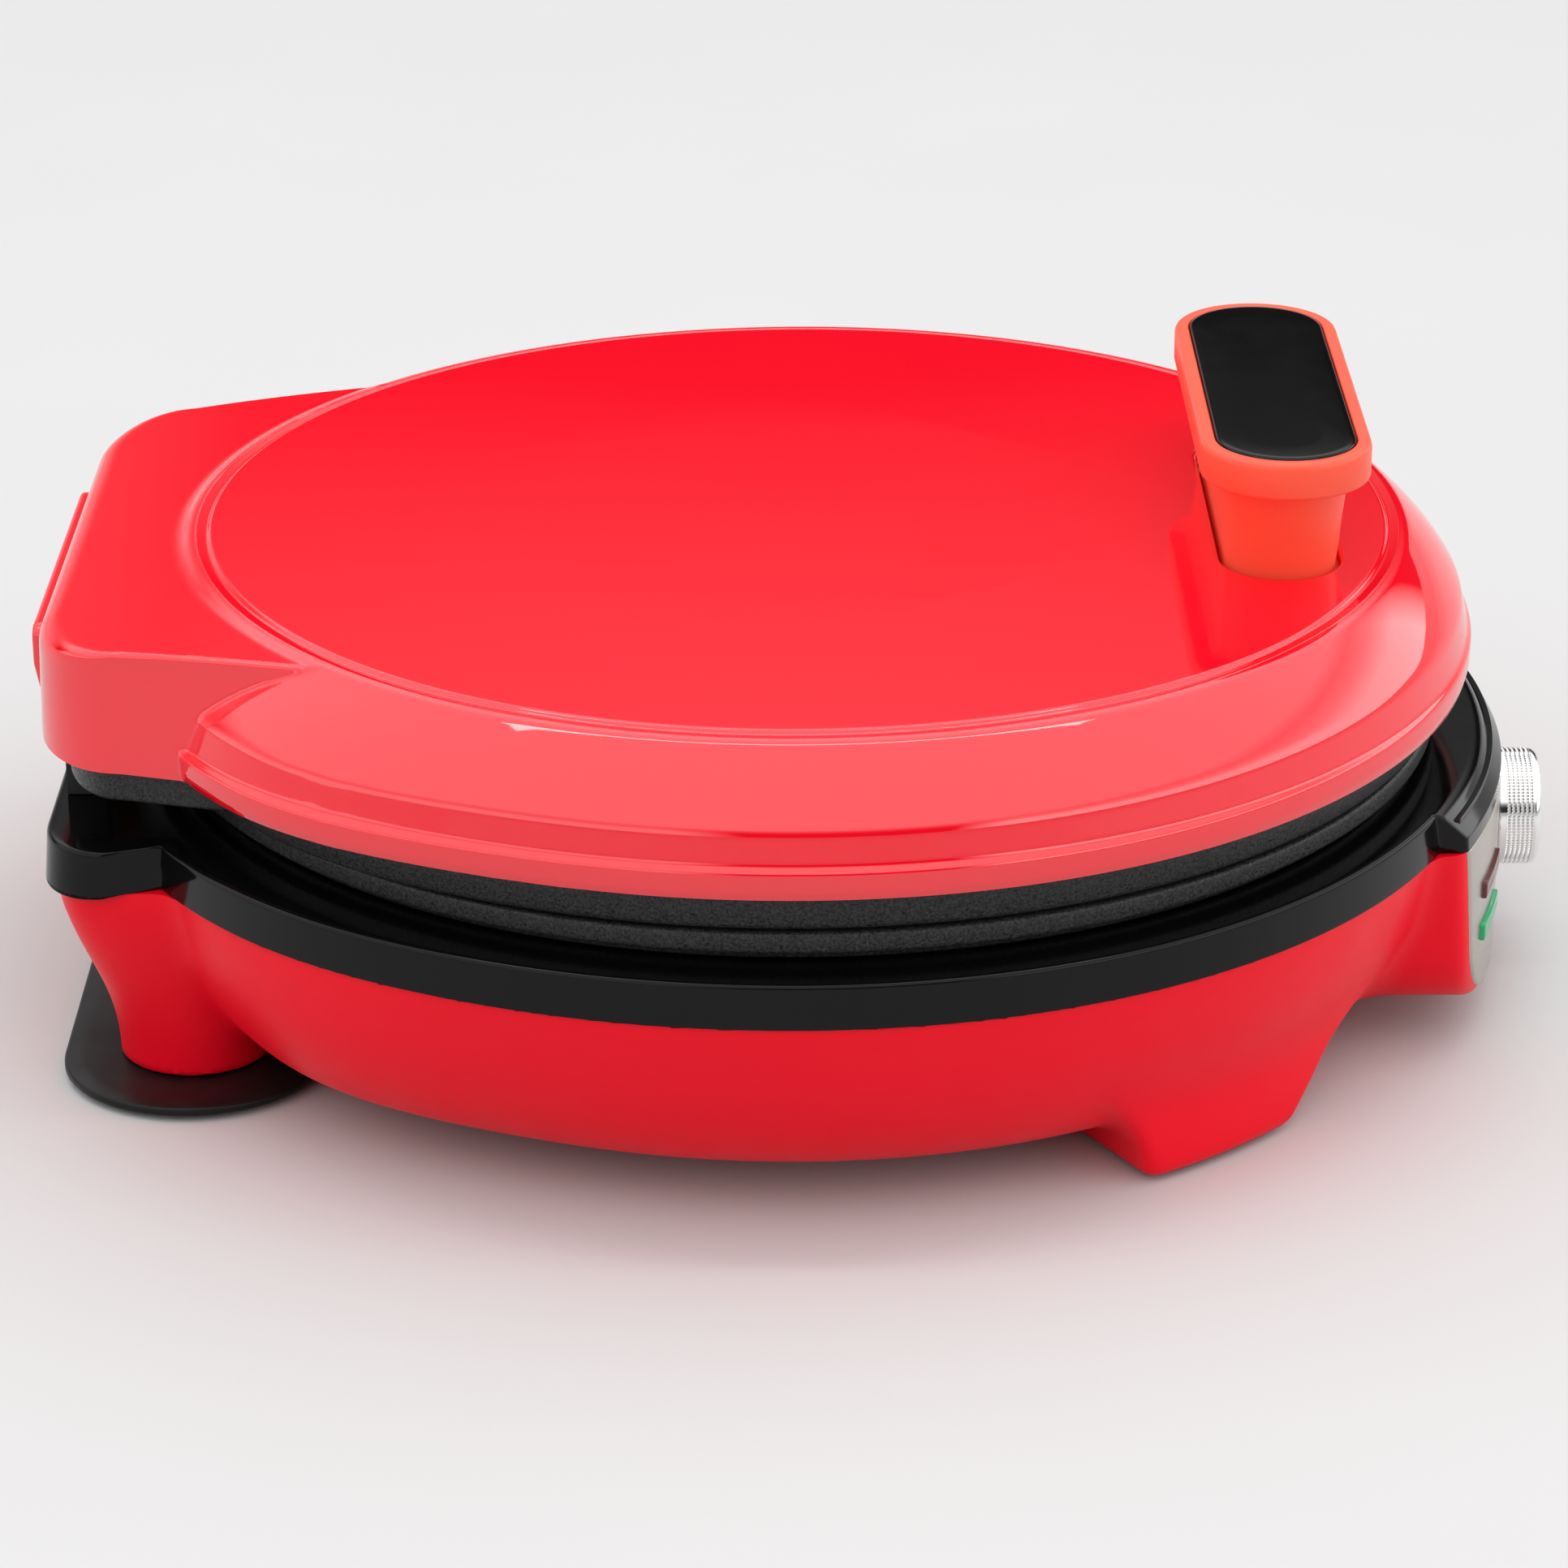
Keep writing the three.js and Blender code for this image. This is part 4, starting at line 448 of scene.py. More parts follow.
finish("rubber", (0.015, 0.015, 0.016), 0.80, specular=0.3, spread=0.06,
       tone=(0.027, 0.027, 0.028), tone_scale=120, bumps=[(1100, 0.15, 0.0003)])
finish("ceramic", (0.72, 0.69, 0.62), 0.62, specular=0.3, spread=0.08,
       tone=(0.60, 0.56, 0.48), tone_scale=240, bumps=[(900, 0.12, 0.0003)])

for entry in frame["record"]["materials"]:
    for node in entry.get("nodes", []):
        obj = frame["nodes"][node]
        obj.data.materials.clear()
        obj.data.materials.append(materials[entry["slot"]])


# Lid: round top with groove, shoulder and chamfer, a wing over the hinge, a well for the handle
bow = np.linspace(0, 1, 9)
cone_r = 148.5 + 13 * bow + 2.4 * bow * (1 - bow)
cone_z = 60.6 - 14.1 * bow + 2.2 * bow * (1 - bow)
bead = [(162.5, 44.6), (164.1, 37.4), (165.2, 36.2), (165.2, 31.6), (164.7, LID_EDGE)]
LID_PROFILE = rounded([(146.6, 60.78), *zip(cone_r, cone_z), *bead], 1.0, 5)
lid_z, lid_r = LID_PROFILE[::-1, 1], LID_PROFILE[::-1, 0]
lid_wing_low = wing_radius(LID_WING, 0)
lid_wing_high = wing_radius(LID_WING, 3.2, 0.6)
top_line = [(0, LID_TOP), (72, 62.0), (143.2, 61.45), (144.2, 60.5), (146.6, 60.78), (150, 60.8)]
CROWN = rounded(top_line, 0.35, 6)


def lid_field(x, y, z, inset=0.0):
    radius = np.interp(z + inset * 0.6, lid_z, lid_r)
    slope = (np.interp(z + 0.1, lid_z, lid_r) - np.interp(z - 0.1, lid_z, lid_r)) / 0.2
    body = (round_radius(x, y, CAVITY, LID_FULLER) - radius + inset) / np.sqrt(1 + slope ** 2)
    share = np.clip((z - LID_EDGE) / WING_LEAN, 0, 1)
    wall = np.hypot(x, y) - (1 - share) * lid_wing_low(x, y) - share * lid_wing_high(x, y) + inset
    drop = WING_DROP * np.clip((y - DROP_START) / DROP_LENGTH, 0, 1) ** 2
    top = z + inset - WING_TOP + drop
    aside = np.maximum(WING_CORNER[0] - np.abs(x), 0.5)
    behind = np.maximum(WING_CORNER[1] - y, 0.5)
    soft = SIDE_EDGE + (REAR_EDGE - SIDE_EDGE) * ease(aside / (aside + behind))
    wing = np.where(y > 0, smooth_max(wall, top, soft), FAR)
    return smooth_min(body, wing, 0.9)


def crown(radius):
    """Height of the lid's top, which is slightly domed, with a groove near its edge."""
    return np.interp(radius, CROWN[:, 0], CROWN[:, 1])


theta = directions(0.8, 0.16, [(44, 62)])
rim_x, rim_y = np.cos(theta), np.sin(theta)


def well_row(margin, z):
    """The handle's well seen along the lines from its middle to the lid's rim."""
    dx, dy = 143 * rim_x, 143 * rim_y - HANDLE_Y
    length = np.hypot(dx, dy)
    cx, cy = dx / length, dy / length
    wide = WELL_WIDE + margin
    flat = wide / np.maximum(np.abs(cy), 1e-9)
    cap = WELL_HALF * np.abs(cx) + np.sqrt(np.maximum(wide ** 2 - (WELL_HALF * cy) ** 2, 0))
    t = np.where(flat * np.abs(cx) <= WELL_HALF, flat, cap)
    return np.column_stack([t * cx, HANDLE_Y + t * cy, np.broadcast_to(z, theta.shape)])


def lid():
    rows = [well_row(-9.0, WELL_FLOOR), well_row(-0.8, WELL_FLOOR)]
    rows += [well_row(-0.1, WELL_FLOOR + 0.2), well_row(0.0, WELL_FLOOR + 0.8)]
    lip = well_row(0.0, 0.0)
    level = crown(np.hypot(lip[:, 0], lip[:, 1]))
    for margin, depth in ((0.0, 0.8), (0.12, 0.45), (0.4, 0.14), (0.9, 0.0)):
        rows.append(well_row(margin, level - depth))
    start, edge = well_row(1.4, 0.0)[:, :2], ring(theta, 142.0, 0)[:, :2]
    for t in np.linspace(0, 1, 14) ** 0.85:
        flat = start * (1 - t) + edge * t
        rows.append(np.column_stack([flat, crown(np.hypot(*flat.T))]))
    groove = [142.6, 142.9, 143.05, 143.2, 143.35, 143.6, 143.8, 144.0, 144.2, 144.4, 144.7, 145.4]
    rows += [ring(theta, radius, crown(radius)) for radius in groove + [146.6]]
    angles = np.radians(np.linspace(41.3, 8.0, 420))
    rows += settle(*trace(lid_field, theta, INSIDE_LID, angles), theta, 76)[1:]
    bottom = rows[-1].copy()
    bottom[:, 2] = LID_EDGE
    rows[-1] = bottom
    rows.append(bottom * [0.9945, 0.9945, 1])

    def hollow(x, y, z):
        return lid_field(x, y, z, LID_WALL)

    angles = np.radians(np.linspace(8.2, 40.0, 90))
    rows += settle(*trace(hollow, theta, INSIDE_LID, angles), theta, 22)
    return skin(rows + [ring(theta, 60, 55.0)])


piece("lid_cover", *lid(), "lid", "lid_red", ["lid_shell"])

# Handle on the lid, with its insert: rows of (half length, half width, height)
centre = np.array([0.0, HANDLE_Y])
grip_rows = [(49.7, 13.3, 57.7), (49.7, 13.3, 61.3), (51.0, 13.7, 66.0), (53.0, 14.2, 74.0)]
for t in (0.0, 0.4, 0.7, 0.9, 1.0):
    grip_rows.append((55.6 + 1.4 * t ** 2, 14.9 + 1.3 * t ** 2, 82.6 + 1.9 * t))
grip_rows += [(61.4, 19.1, 84.9), (61.9, 19.6, 85.05), (62.3, 20.0, 85.4), (62.5, 20.2, 86.0)]
grip_rows += [(62.5, 20.2, 92.2), (62.4, 20.1, 92.9), (62.1, 19.8, 93.5), (61.6, 19.3, 93.9)]
grip_rows += [(61.0, 18.7, 94.0), (59.5, 17.2, 94.0), (59.2, 16.9, 93.8), (59.1, 16.8, 93.4)]
grip_rows += [(59.1, 16.8, 92.1)]
piece("handle_grip", *skin(bar(grip_rows, centre, 160)), "lid", "grip_red", ["handle_body"],
      crease=50)
insert_rows = [(58.4, 16.1, 92.3), (58.8, 16.5, 92.5), (58.8, 16.5, 93.5), (58.7, 16.4, 93.85)]
insert_rows += [(58.4, 16.1, 94.1), (57.9, 15.6, 94.22), (57.0, 14.7, 94.28), (50.0, 8.0, 94.3)]
piece("handle_cap", *skin(bar(insert_rows, centre, 160)), "lid", "gloss_black", ["handle_insert"],
      crease=60)


# Hinge cap on the lid's rear wall
def hinge_cap():
    half = np.array([49.0, 9.5])
    corners = [(0, 0), (49.0, 0.0), (49.0, 19.0), (-49.0, 19.0), (-49.0, 0.0), (0, 0)]
    line = along(rounded(corners, 3.2, 10)[1:], 1.2)[:-1]
    middle = half * [0, 1]
    levels = [(0.0, 178.8), (0.0, 180.9), (0.15, 181.6), (0.5, 182.0), (1.1, 182.2), (3.0, 182.2)]
    rows = []
    for inset, y in levels:
        flat = middle + (line - middle) * (1 - inset / half)
        lean = 1.8 * np.clip(1 - flat[:, 1] / half[1], 0, 1) * (y > 179.5)
        rows.append(np.column_stack([flat[:, 0], y - lean, 31.2 + flat[:, 1]]))
    return skin(rows)


piece("hinge_cover", *hinge_cap(), "lid", "lid_red", ["hinge_cap"], crease=60)

# Cooking plates
upper_profile = [(0.5, 31.0), (60, 31.0)] + rounded([
    (120, 31.0), (147.3, 31.0), (CAVITY, 19.6), (RIM, 19.6), (157.9, 20.5), (160.6, 30.8),
    (158.4, 30.8), (156.2, 22.0), (152.9, 22.0), (149.9, 34.0), (100, 34.0),
], 1.3, 7).tolist() + [(60, 34.0), (0.5, 34.0)]


def plate_wing(side):
    """The upper plate's wing on one side of the hinge bay."""
    levels = [(7.6, 20.4), (7.0, 20.45), (6.55, 20.75), (6.3, 21.3), (6.2, 22.2), (5.4, 26.4)]
    levels += [(4.5, 30.8), (6.9, 30.8), (8.8, 23.2)]
    outside = np.linspace(0, 0.45, 120, endpoint=False)
    share = np.concatenate([outside, np.linspace(0.45, 1, 60, endpoint=False)])
    rows = []
    for inset, z in levels:
        line = along(outline(LID_WING, inset), 0.25)
        line = line[(line[:, 0] > HINGE_BAY) & (np.hypot(*line.T) > WING_INNER)]
        back = HINGE_BAY + max(0.0, min(inset - 4.5, 2.2) * 0.3)
        corner = math.sqrt(WING_INNER ** 2 - back ** 2)
        turn = np.linspace(math.atan2(corner, back), math.atan2(line[0, 1], line[0, 0]), 40)
        inner = [(WING_INNER * math.cos(t), WING_INNER * math.sin(t)) for t in turn]
        path = np.vstack([line, [(back, line[-1, 1])], inner])
        lengths = np.concatenate([[0], np.cumsum(np.hypot(*np.diff(path, axis=0).T))])
        flat = [np.interp(share * lengths[-1], lengths, path[:, i]) for i in (0, 1)]
        rows.append(np.column_stack([side * flat[0], flat[1], np.full(len(share), z)]))
    return skin(rows)


round_theta = np.radians(np.arange(0, 360, 0.9))
upper = skin(turned(upper_profile, round_theta, LID_FULLER))
piece("upper_plate", *merge(upper, plate_wing(1), plate_wing(-1)), "lid", "nonstick_black",
      ["upper_cooking_plate"], crease=45)
lower_profile = [(0.5, 5.8), (70, 5.8)] + rounded([
    (120, 5.8), (145.1, 5.8), (149.7, 18.4), (RIM, 18.4), (RIM, 13.3), (153.75, 13.3),
    (153.75, 10.9), (CAVITY, 10.9), (147.5, 2.8), (100, 2.8),
], 1.2, 7).tolist() + [(60, 2.8), (0.5, 2.8)]
piece("lower_plate", *skin(turned(lower_profile, round_theta)), "base", "nonstick_black",
      ["lower_cooking_plate"], crease=45)

# Bezel: flat ring with a wing behind and a lip over the control panel
bezel_wing_low = wing_radius(BODY_WING, 0)
bezel_top_wing = dict(BODY_WING, half=92.6, neck=87.9, rear=177.4, long=19.0, deep=16.0)
bezel_wing_high = wing_radius(bezel_top_wing, 0)


def bezel_field(x, y, z):
    level = z - BEZEL_TOP
    body = round_radius(x, y, CAVITY, BEZEL_FULLER) - BODY + 0.05 * np.clip(z, 0, 11)
    share = np.clip(z / BEZEL_TOP, 0, 1)
    wall = np.hypot(x, y) - (1 - share) * bezel_wing_low(x, y) - share * bezel_wing_high(x, y)
    wing = np.where(y > 0, wall, FAR)
    cone = (np.hypot(x, y) - np.interp(z, [LIP_LOW, BEZEL_TOP], LIP_RADII)) * 0.75
    ends = (np.abs(x) - np.interp(z, [0, BEZEL_TOP], LIP_HALVES)) * 0.95
    lip = np.where(y < 0, smooth_max(cone, ends, 0.8), FAR)
    sides = smooth_min(smooth_min(body, wing, 1.0), lip, 0.4)
    return smooth_max(sides, level, 1.3)


def bezel():
    turns = directions(0.9, 0.16, [(54, 66), (-66.5, -63.0)])
    angles = np.radians(np.linspace(-6.0, 88.0, 420))
    rows = settle(*trace(bezel_field, turns, INSIDE_BEZEL, angles), turns, 56)
    rows[0][:, 2] = 0.0
    outer = rows[0]
    edge = [(156.5, BEZEL_TOP), (151.6, BEZEL_TOP), (151.6, 5.6), (154.0, 5.6), (154.0, 8.2)]
    rows += [ring(turns, radius, z) for radius, z in rounded(edge + [(158.0, 8.2)], 0.9, 6)[1:]]
    length = np.hypot(outer[:, 0], outer[:, 1])
    inner = outer * ((length - 2.4) / length)[:, None]
    rows += [np.column_stack([inner[:, :2], np.full(len(turns), 8.2)]), inner]
    return skin(rows, loop=True)


piece("bezel_ring", *bezel(), "base", "gloss_black", ["bezel"], crease=50)

# Base: bowl, wing block, two columns, two front feet and the housing, flowing into each other
bowl_corners = [(167.4, BASE_TOP), (166.2, -6.1), (162.2, -20.5), (156.0, -33.1), (149.3, -41.8)]
bowl_line = rounded(bowl_corners + [(137.5, BOWL_EDGE)], 7.0, 8)
bowl_z, bowl_r = bowl_line[::-1, 1], bowl_line[::-1, 0]
wing_tables = [wing_radius(BODY_WING, BASE_INSET + inset) for inset in (8.0, 2.0, 0.0)]


def bowl_field(x, y, z):
    radius = np.interp(z, bowl_z, bowl_r) - np.where(z < BOWL_EDGE, (BOWL_EDGE - z) * 2, 0)
    slope = (np.interp(z + 0.3, bowl_z, bowl_r) - np.interp(z - 0.3, bowl_z, bowl_r)) / 0.6
    fuller = BEZEL_FULLER + 0.036 * np.clip(-z / 40, 0, 1)
    side = (round_radius(x, y, 105.0, fuller) - radius) / np.sqrt(1 + slope ** 2)
    return smooth_max(side, BOWL_FOOT - z, 3.0)


def wing_field(x, y, z):
    tables = [table(x, y) for table in wing_tables]
    share = np.clip((z - WING_FOOT) / (BASE_TOP - WING_FOOT), 0, 1) * 2
    low, high = np.clip(1 - share, 0, 1), np.clip(share - 1, 0, 1)
    radius = low * tables[0] + (1 - low - high) * tables[1] + high * tables[2]
    field = smooth_max((np.hypot(x, y) - radius) * 0.92, (WING_FOOT - z) * 0.9, 4.0)
    return np.where(y > 0, field, FAR)


def column_field(x, y, z):
    dx, dy = np.abs(x) - COLUMN_X, y - COLUMN_Y
    away = np.maximum(np.hypot(dx, dy), 1e-6)
    cx, cy = dx / away, dy / away
    reach = (cx ** 4 + cy ** 4) ** -0.25
    long = cx * np.where(cx > 0, COLUMN_OUT, COLUMN_IN)
    deep = cy * np.where(cy > 0, COLUMN_BACK, COLUMN_FRONT)
    flare = ease(np.clip((z - COLUMN_FOOT) / (BASE_TOP - COLUMN_FOOT), 0, 1) ** 1.08)
    side = away - (COLUMN_RADIUS * (1 - flare) + reach * np.hypot(long, deep) * flare)
    return smooth_max(side * 0.88, COLUMN_FOOT - z, 1.2)


def housing_field(x, y, z):
    half = np.interp(z, [HOUSING_LOW, BASE_TOP], HOUSING_HALVES)
    ends = (np.abs(x) - half) * 0.95
    field = smooth_max(smooth_max(ends, HOUSING_FOOT - z, 18.0), np.hypot(x, y) - HOUSING, 3.5)
    return np.where(y < -60, field, FAR)


def feet_field(x, y, z):
    radius = np.hypot(x, y)
    angle = np.degrees(np.arctan2(-y, np.abs(x)))
    rise = np.clip((z - FEET_LOW) / FEET_RISE, 0, 1)
    back, forward = FEET_BACK * rise ** 1.5, FEET_FORWARD * rise
    sides = np.maximum(FEET_FROM - back - angle, angle - FEET_TO - forward)
    around = sides * np.minimum(radius, 170) * DEGREE
    field = smooth_max(smooth_max(radius - FEET_OUTER, FEET_INNER - radius, 3.0), around, 4.0)
    return smooth_max(smooth_max(field, FOOT - z, 3.2), z + 18, 3.0)


def holes_field(x, y, z):
    """Screw holes at (x, y, top), and a ring of vent slots under the bowl."""
    spots = [(side * hx, hy, SCREW_TOP) for hx, hy in SCREWS for side in (-1, 1)]
    for turn in np.radians((90, 210, 330)):
        hx, hy = BOWL_SCREWS * math.cos(turn), BOWL_SCREWS * math.sin(turn)
        spots.append((hx, hy, BOWL_SCREW_TOP))
    field = np.full(np.shape(x), FAR)
    for hx, hy, top in spots:
        field = np.minimum(field, np.maximum(np.hypot(x - hx, y - hy) - HOLE, z - top))
    step = 2 * math.pi / VENTS
    angle = np.arctan2(y, x) % step - step / 2
    radius = np.hypot(x, y)
    ends = np.abs(radius - VENT_MIDDLE) - VENT_LONG
    slot = np.maximum(ends, np.abs(radius * np.sin(angle)) - VENT_WIDE)
    return np.minimum(field, np.maximum(slot, z - VENT_TOP))


def base_field(x, y, z):
    bowl, wing, housing = bowl_field(x, y, z), wing_field(x, y, z), housing_field(x, y, z)
    rear = smooth_min(wing, column_field(x, y, z), 2.0)
    body = smooth_min(bowl, rear, 4.5)
    body = smooth_min(body, housing, 5.0)
    body = smooth_min(body, feet_field(x, y, z), 5.0)
    hollow = np.minimum(np.minimum(bowl, wing), housing) + BASE_WALL
    body = np.maximum(body, -hollow)
    body = np.maximum(body, -holes_field(x, y, z))
    return np.maximum(body, z - BASE_TOP)


base_skin = contour(base_field, (-174, -176, -58), (174, 182, 1), 1.3)
piece("base_cover", *base_skin, "base", "base_red", ["base_shell"], crease=42)


def front_pad(line, middle, levels):
    """A pad on the housing's round front: outline in x and z, levels of (inset, radius)."""
    reach = np.abs(line - middle).max(0)
    rows = []
    for inset, radius in levels:
        flat = middle + (line - middle) * (1 - inset / reach)
        depth = np.sqrt(radius ** 2 - flat[:, 0] ** 2)
        rows.append(np.column_stack([flat[:, 0], -depth, flat[:, 1]]))
    return skin(rows)


def even(line, step):
    """The line closed, with evenly spread points."""
    return along(np.vstack([line, line[:1]]), step)[:-1]


panel_corners = [(-70.6, BASE_TOP), (-61.6, -45.0), (61.6, -45.0), (70.6, BASE_TOP)]
panel_line = even(rounded(panel_corners, 18.0, 12), 0.8)
panel_reach = np.array([70.6, 25.0])
levels = [(0.98 * panel_reach, PANEL_BACK), (0.5 * panel_reach, PANEL_BACK), (1.0, PANEL_BACK)]
levels += [(0.3, 171.4), (0.0, 171.8), (0.0, 173.75), (0.12, 173.92), (0.45, 174.04)]
levels += [(0.9, PANEL_FACE)]
levels += [(share * panel_reach, PANEL_FACE) for share in np.linspace(0.06, 0.98, 20)]
piece("front_panel", *front_pad(panel_line, np.array([0, -20]), levels), "base", "satin_silver",
      ["control_panel"], crease=50)


def lens(z):
    top, low = z + 2.3, z - 2.2
    corners = [(-46.0, top), (-56.6, top), (-56.6, low), (-35.0, low), (-35.0, top), (-46.0, top)]
    levels = [(0.6, 171.0), (0.0, 171.2), (0.0, 174.75), (0.1, 174.95), (0.3, 175.06), (0.9, 175.1)]
    line = even(rounded(corners, 0.8, 6)[:-1], 0.5)
    return front_pad(line, np.array([-45.8, z + 0.05]), levels + [(1.8, 175.1)])


piece("red_lamp_cover", *lens(RED_LAMP_Z), "base", "red_lens", ["power_lens"], crease=60)
piece("green_lamp_cover", *lens(GREEN_LAMP_Z), "base", "green_lens", ["ready_lens"], crease=60)


# Knob: smooth band, rows of small dimples, rounded front, pointer notch
def knob():
    angle = np.linspace(0, 2 * math.pi, DIMPLES * 6, endpoint=False)
    level = np.ones(len(angle))
    back = [(14.25, 0.0), (14.5, 0.2), (14.6, 0.5), (14.6, 1.4), (14.6, 2.0)]
    rows = [(radius * level, s) for radius, s in back]
    for s in np.linspace(DIMPLE_START, 8.88, 49):
        across = (angle * DIMPLES / (2 * math.pi)) % 1 - 0.5
        down = ((s - DIMPLE_START) / DIMPLE_STEP) % 1.0 - 0.5
        dimple = np.clip(1 - 7.5 * (across ** 2 + down ** 2), 0, 1)
        rows.append((14.62 - DIMPLE_DEPTH * dimple, s))
    rim = [(14.5, 9.05), (14.55, 9.2), (14.5, 9.6), (14.3, 10.2), (13.9, 10.7), (13.3, 11.05)]
    rim += [(12.5, 11.25), (11.8, 11.3), (11.4, 11.2), (11.2, 11.0), (10.8, 10.9), (6.0, 10.9)]
    rows += [(radius * level, s) for radius, s in rim + [(2.0, 10.9)]]
    out = []
    for radius, s in rows:
        x, z = radius * np.sin(angle), radius * np.cos(angle)
        notch = (np.abs(x) < 0.75) & (z > 3) & (s > 10.95)
        depth = KNOB_BACK + s - np.where(notch, 0.5, 0)
        out.append(np.column_stack([x, -depth, KNOB_Z + z]))
    return skin(out)


piece("knob_grip", *knob(), "control_knob", "knob_chrome", ["knob"], crease=28)

# Cord wrap plate under the rear columns
plate_rows = [(96.2, 31.2, FOOT), (96.7, 31.7, -55.6), (97.0, 32.0, -55.2), (97.0, 32.0, -54.1)]
plate_rows += [(96.8, 31.8, -53.7), (96.3, 31.3, -53.5), (92.0, 27.0, -53.5)]
wrap_plate = skin(bar(plate_rows, np.array([0.0, COLUMN_Y]), 220))
piece("wrap_plate", *wrap_plate, "base", "black_plastic", ["cord_wrap_plate"], crease=60)

# Camera at the photograph's place, in metres
CAMERA, LENS, SENSOR = (-1.2039, 0.00505, 0.5525), 119.68, 36
TILT, ROLL = math.radians(22.84), math.radians(-0.3)
ahead = Vector((math.cos(TILT), 0, -math.sin(TILT)))
side = Vector((0, -1, 0))
above = side.cross(ahead)
right = side * math.cos(ROLL) + above * math.sin(ROLL)
up = above * math.cos(ROLL) - side * math.sin(ROLL)
camera = bpy.data.objects.new("camera", bpy.data.cameras.new("camera"))
camera.data.lens = LENS
camera.data.sensor_width = SENSOR
turn = Matrix((right, up, -ahead)).transposed().to_4x4()
camera.matrix_world = Matrix.Translation(CAMERA) @ turn
bpy.context.scene.collection.objects.link(camera)
bpy.context.scene.camera = camera


# Floor: a wide disc that rises at its far edge, pale to the camera and in reflections
FLOOR_SWEEP = [(0.2, 0), (1.0, 0), (4.0, 0), (12.0, 0), (12.8, 0.08), (13.5, 0.35), (13.9, 0.8)]
FLOOR_SWEEP += [(14.0, 1.9)]


def floor():
    angle = np.linspace(0, 2 * math.pi, 96, endpoint=False)
    points, faces = skin([ring(angle, radius, z) for radius, z in FLOOR_SWEEP])
    faces = [face for face in faces if len(points) - 1 not in face]
    mesh = bpy.data.meshes.new("floor")
    mesh.from_pydata(points.tolist(), [], faces)
    obj = bpy.data.objects.new("floor", mesh)
    bpy.context.scene.collection.objects.link(obj)
    finish("floor_paper", (0.62, 0.62, 0.62), 0.9, specular=0.1, tone=(0.60, 0.60, 0.60),
           tone_scale=6, bumps=[(300, 0.02, 0.0005)])
    tree = materials["floor_paper"].node_tree
    path, seen = tree.nodes.new("ShaderNodeLightPath"), None
    for kind in ("Is Camera Ray", "Is Glossy Ray", "Is Transmission Ray"):
        total = tree.nodes.new("ShaderNodeMath")
        total.operation = "MAXIMUM"
        tree.links.new(path.outputs[kind], total.inputs[0])
        if seen:
            tree.links.new(seen, total.inputs[1])
        seen = total.outputs[0]
    dim, choice = tree.nodes.new("ShaderNodeBsdfDiffuse"), tree.nodes.new("ShaderNodeMixShader")
    dim.inputs["Color"].default_value = (0.30, 0.30, 0.30, 1)
    tree.links.new(seen, choice.inputs["Fac"])
    tree.links.new(dim.outputs["BSDF"], choice.inputs[1])
    tree.links.new(tree.nodes["Principled BSDF"].outputs["BSDF"], choice.inputs[2])
    tree.links.new(choice.outputs["Shader"], tree.nodes["Material Output"].inputs["Surface"])
    mesh.materials.append(materials["floor_paper"])


floor()


# Light: one strip overhead and the world round it
def softbox(name, place_at, look_at, wide, high, radiance):
    lamp = bpy.data.lights.new(name, "AREA")
    lamp.shape = "RECTANGLE"
    lamp.size, lamp.size_y, lamp.energy = wide, high, radiance * math.pi * wide * high
    obj = bpy.data.objects.new(name, lamp)
    obj.location = place_at
    aim = Vector(look_at) - Vector(place_at)
    obj.rotation_euler = aim.to_track_quat("-Z", "Y").to_euler()
    obj.visible_camera = False
    bpy.context.scene.collection.objects.link(obj)


softbox("strip", (-0.08, 0.0, 1.30), (-0.08, 0, 0), 0.12, 1.4, 5.5)

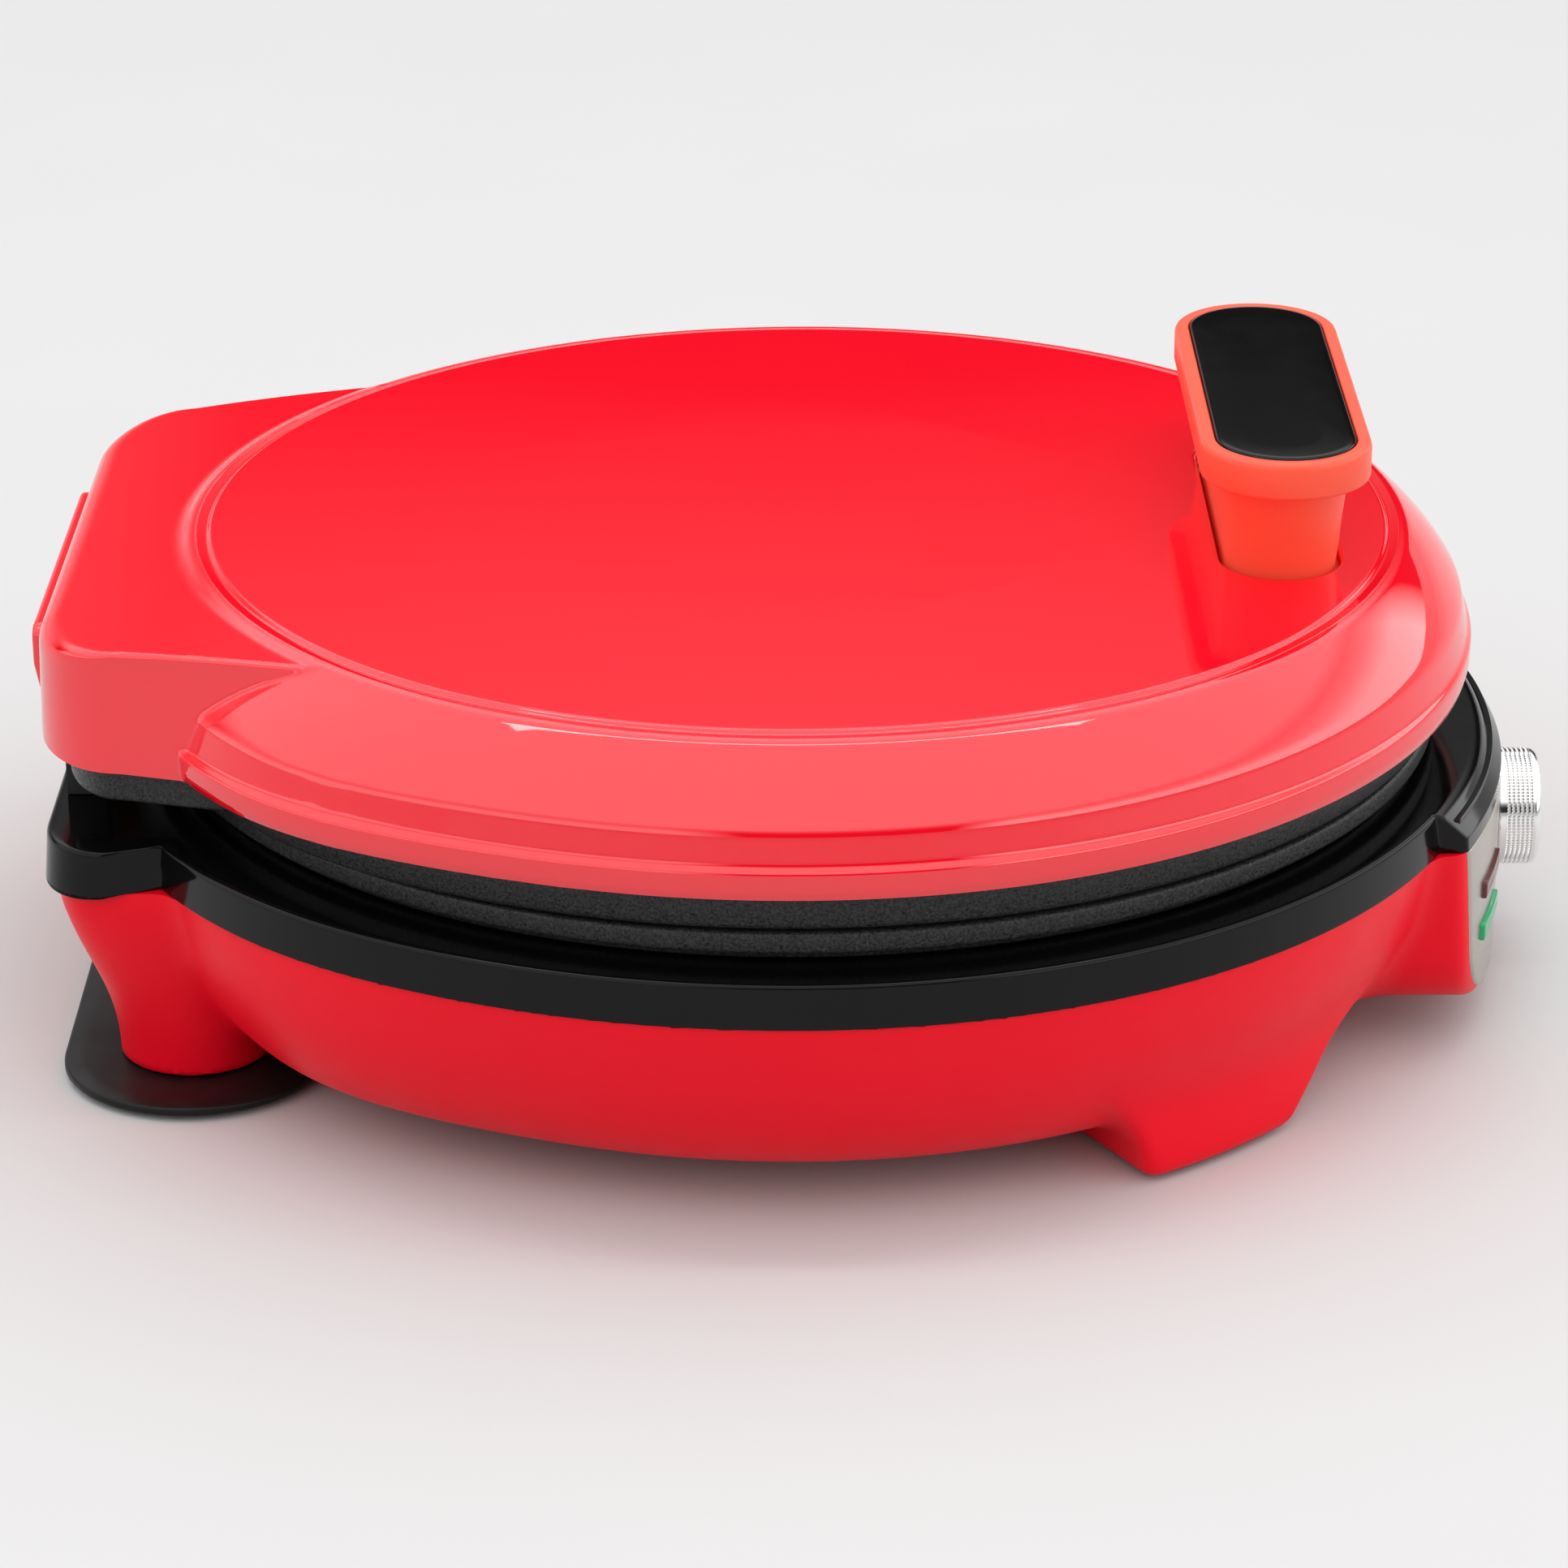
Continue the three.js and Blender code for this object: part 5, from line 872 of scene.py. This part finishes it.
world = bpy.data.worlds.new("studio")
world.use_nodes = True
bpy.context.scene.world = world
nodes, links = world.node_tree.nodes, world.node_tree.links
where, split = nodes.new("ShaderNodeTexCoord"), nodes.new("ShaderNodeSeparateXYZ")
links.new(where.outputs["Generated"], split.inputs["Vector"])


def stepped(value, steps):
    """A value of the world's light at each height or bearing, from (place, level) pairs."""
    ramp = nodes.new("ShaderNodeValToRGB")
    links.new(value, ramp.inputs["Fac"])
    marks = ramp.color_ramp.elements
    marks.remove(marks[1])
    marks[0].position = steps[0][0]
    for spot, _ in steps[1:]:
        marks.new(spot)
    for mark, (_, level) in zip(marks, steps):
        mark.color = (level, level, level, 1)
    return ramp.outputs["Color"]


def worked(kind, a, b):
    """A Math node over two sockets or numbers."""
    node = nodes.new("ShaderNodeMath")
    node.operation = kind
    for value, socket in ((a, node.inputs[0]), (b, node.inputs[1])):
        if isinstance(value, float):
            socket.default_value = value
        else:
            links.new(value, socket)
    return node.outputs[0]


# An even dome of light, and low soft panels round the horizon: bearing, half width, level
DOME = ((0.0, 0.05), (0.30, 0.02), (0.39, 0.25), (0.52, 1.4), (1.0, 1.4))
LOW_BAND = ((0.0, 0.0), (0.01, 1.0), (0.30, 1.0), (0.46, 0.0))
PANELS = ((116.0, 51.0, 1.5), (-96.0, 55.0, 2.5), (30.0, 17.0, 0.7))
SOFT_EDGE = 0.06
total, low = stepped(split.outputs["Z"], DOME), stepped(split.outputs["Z"], LOW_BAND)
for bearing, spread, level in PANELS:
    east = worked("MULTIPLY", split.outputs["X"], math.cos(math.radians(bearing)))
    north = worked("MULTIPLY", split.outputs["Y"], math.sin(math.radians(bearing)))
    edge = math.cos(math.radians(spread)) * 0.98
    steps = ((edge - SOFT_EDGE, 0.0), (edge + SOFT_EDGE, 1.0))
    panel = stepped(worked("ADD", east, north), steps)
    lit = worked("MULTIPLY", worked("MULTIPLY", panel, low), level)
    total = worked("ADD", total, lit)
links.new(total, nodes["Background"].inputs["Color"])
nodes["Background"].inputs["Strength"].default_value = 1.0
bpy.context.scene.view_settings.view_transform = "Standard"
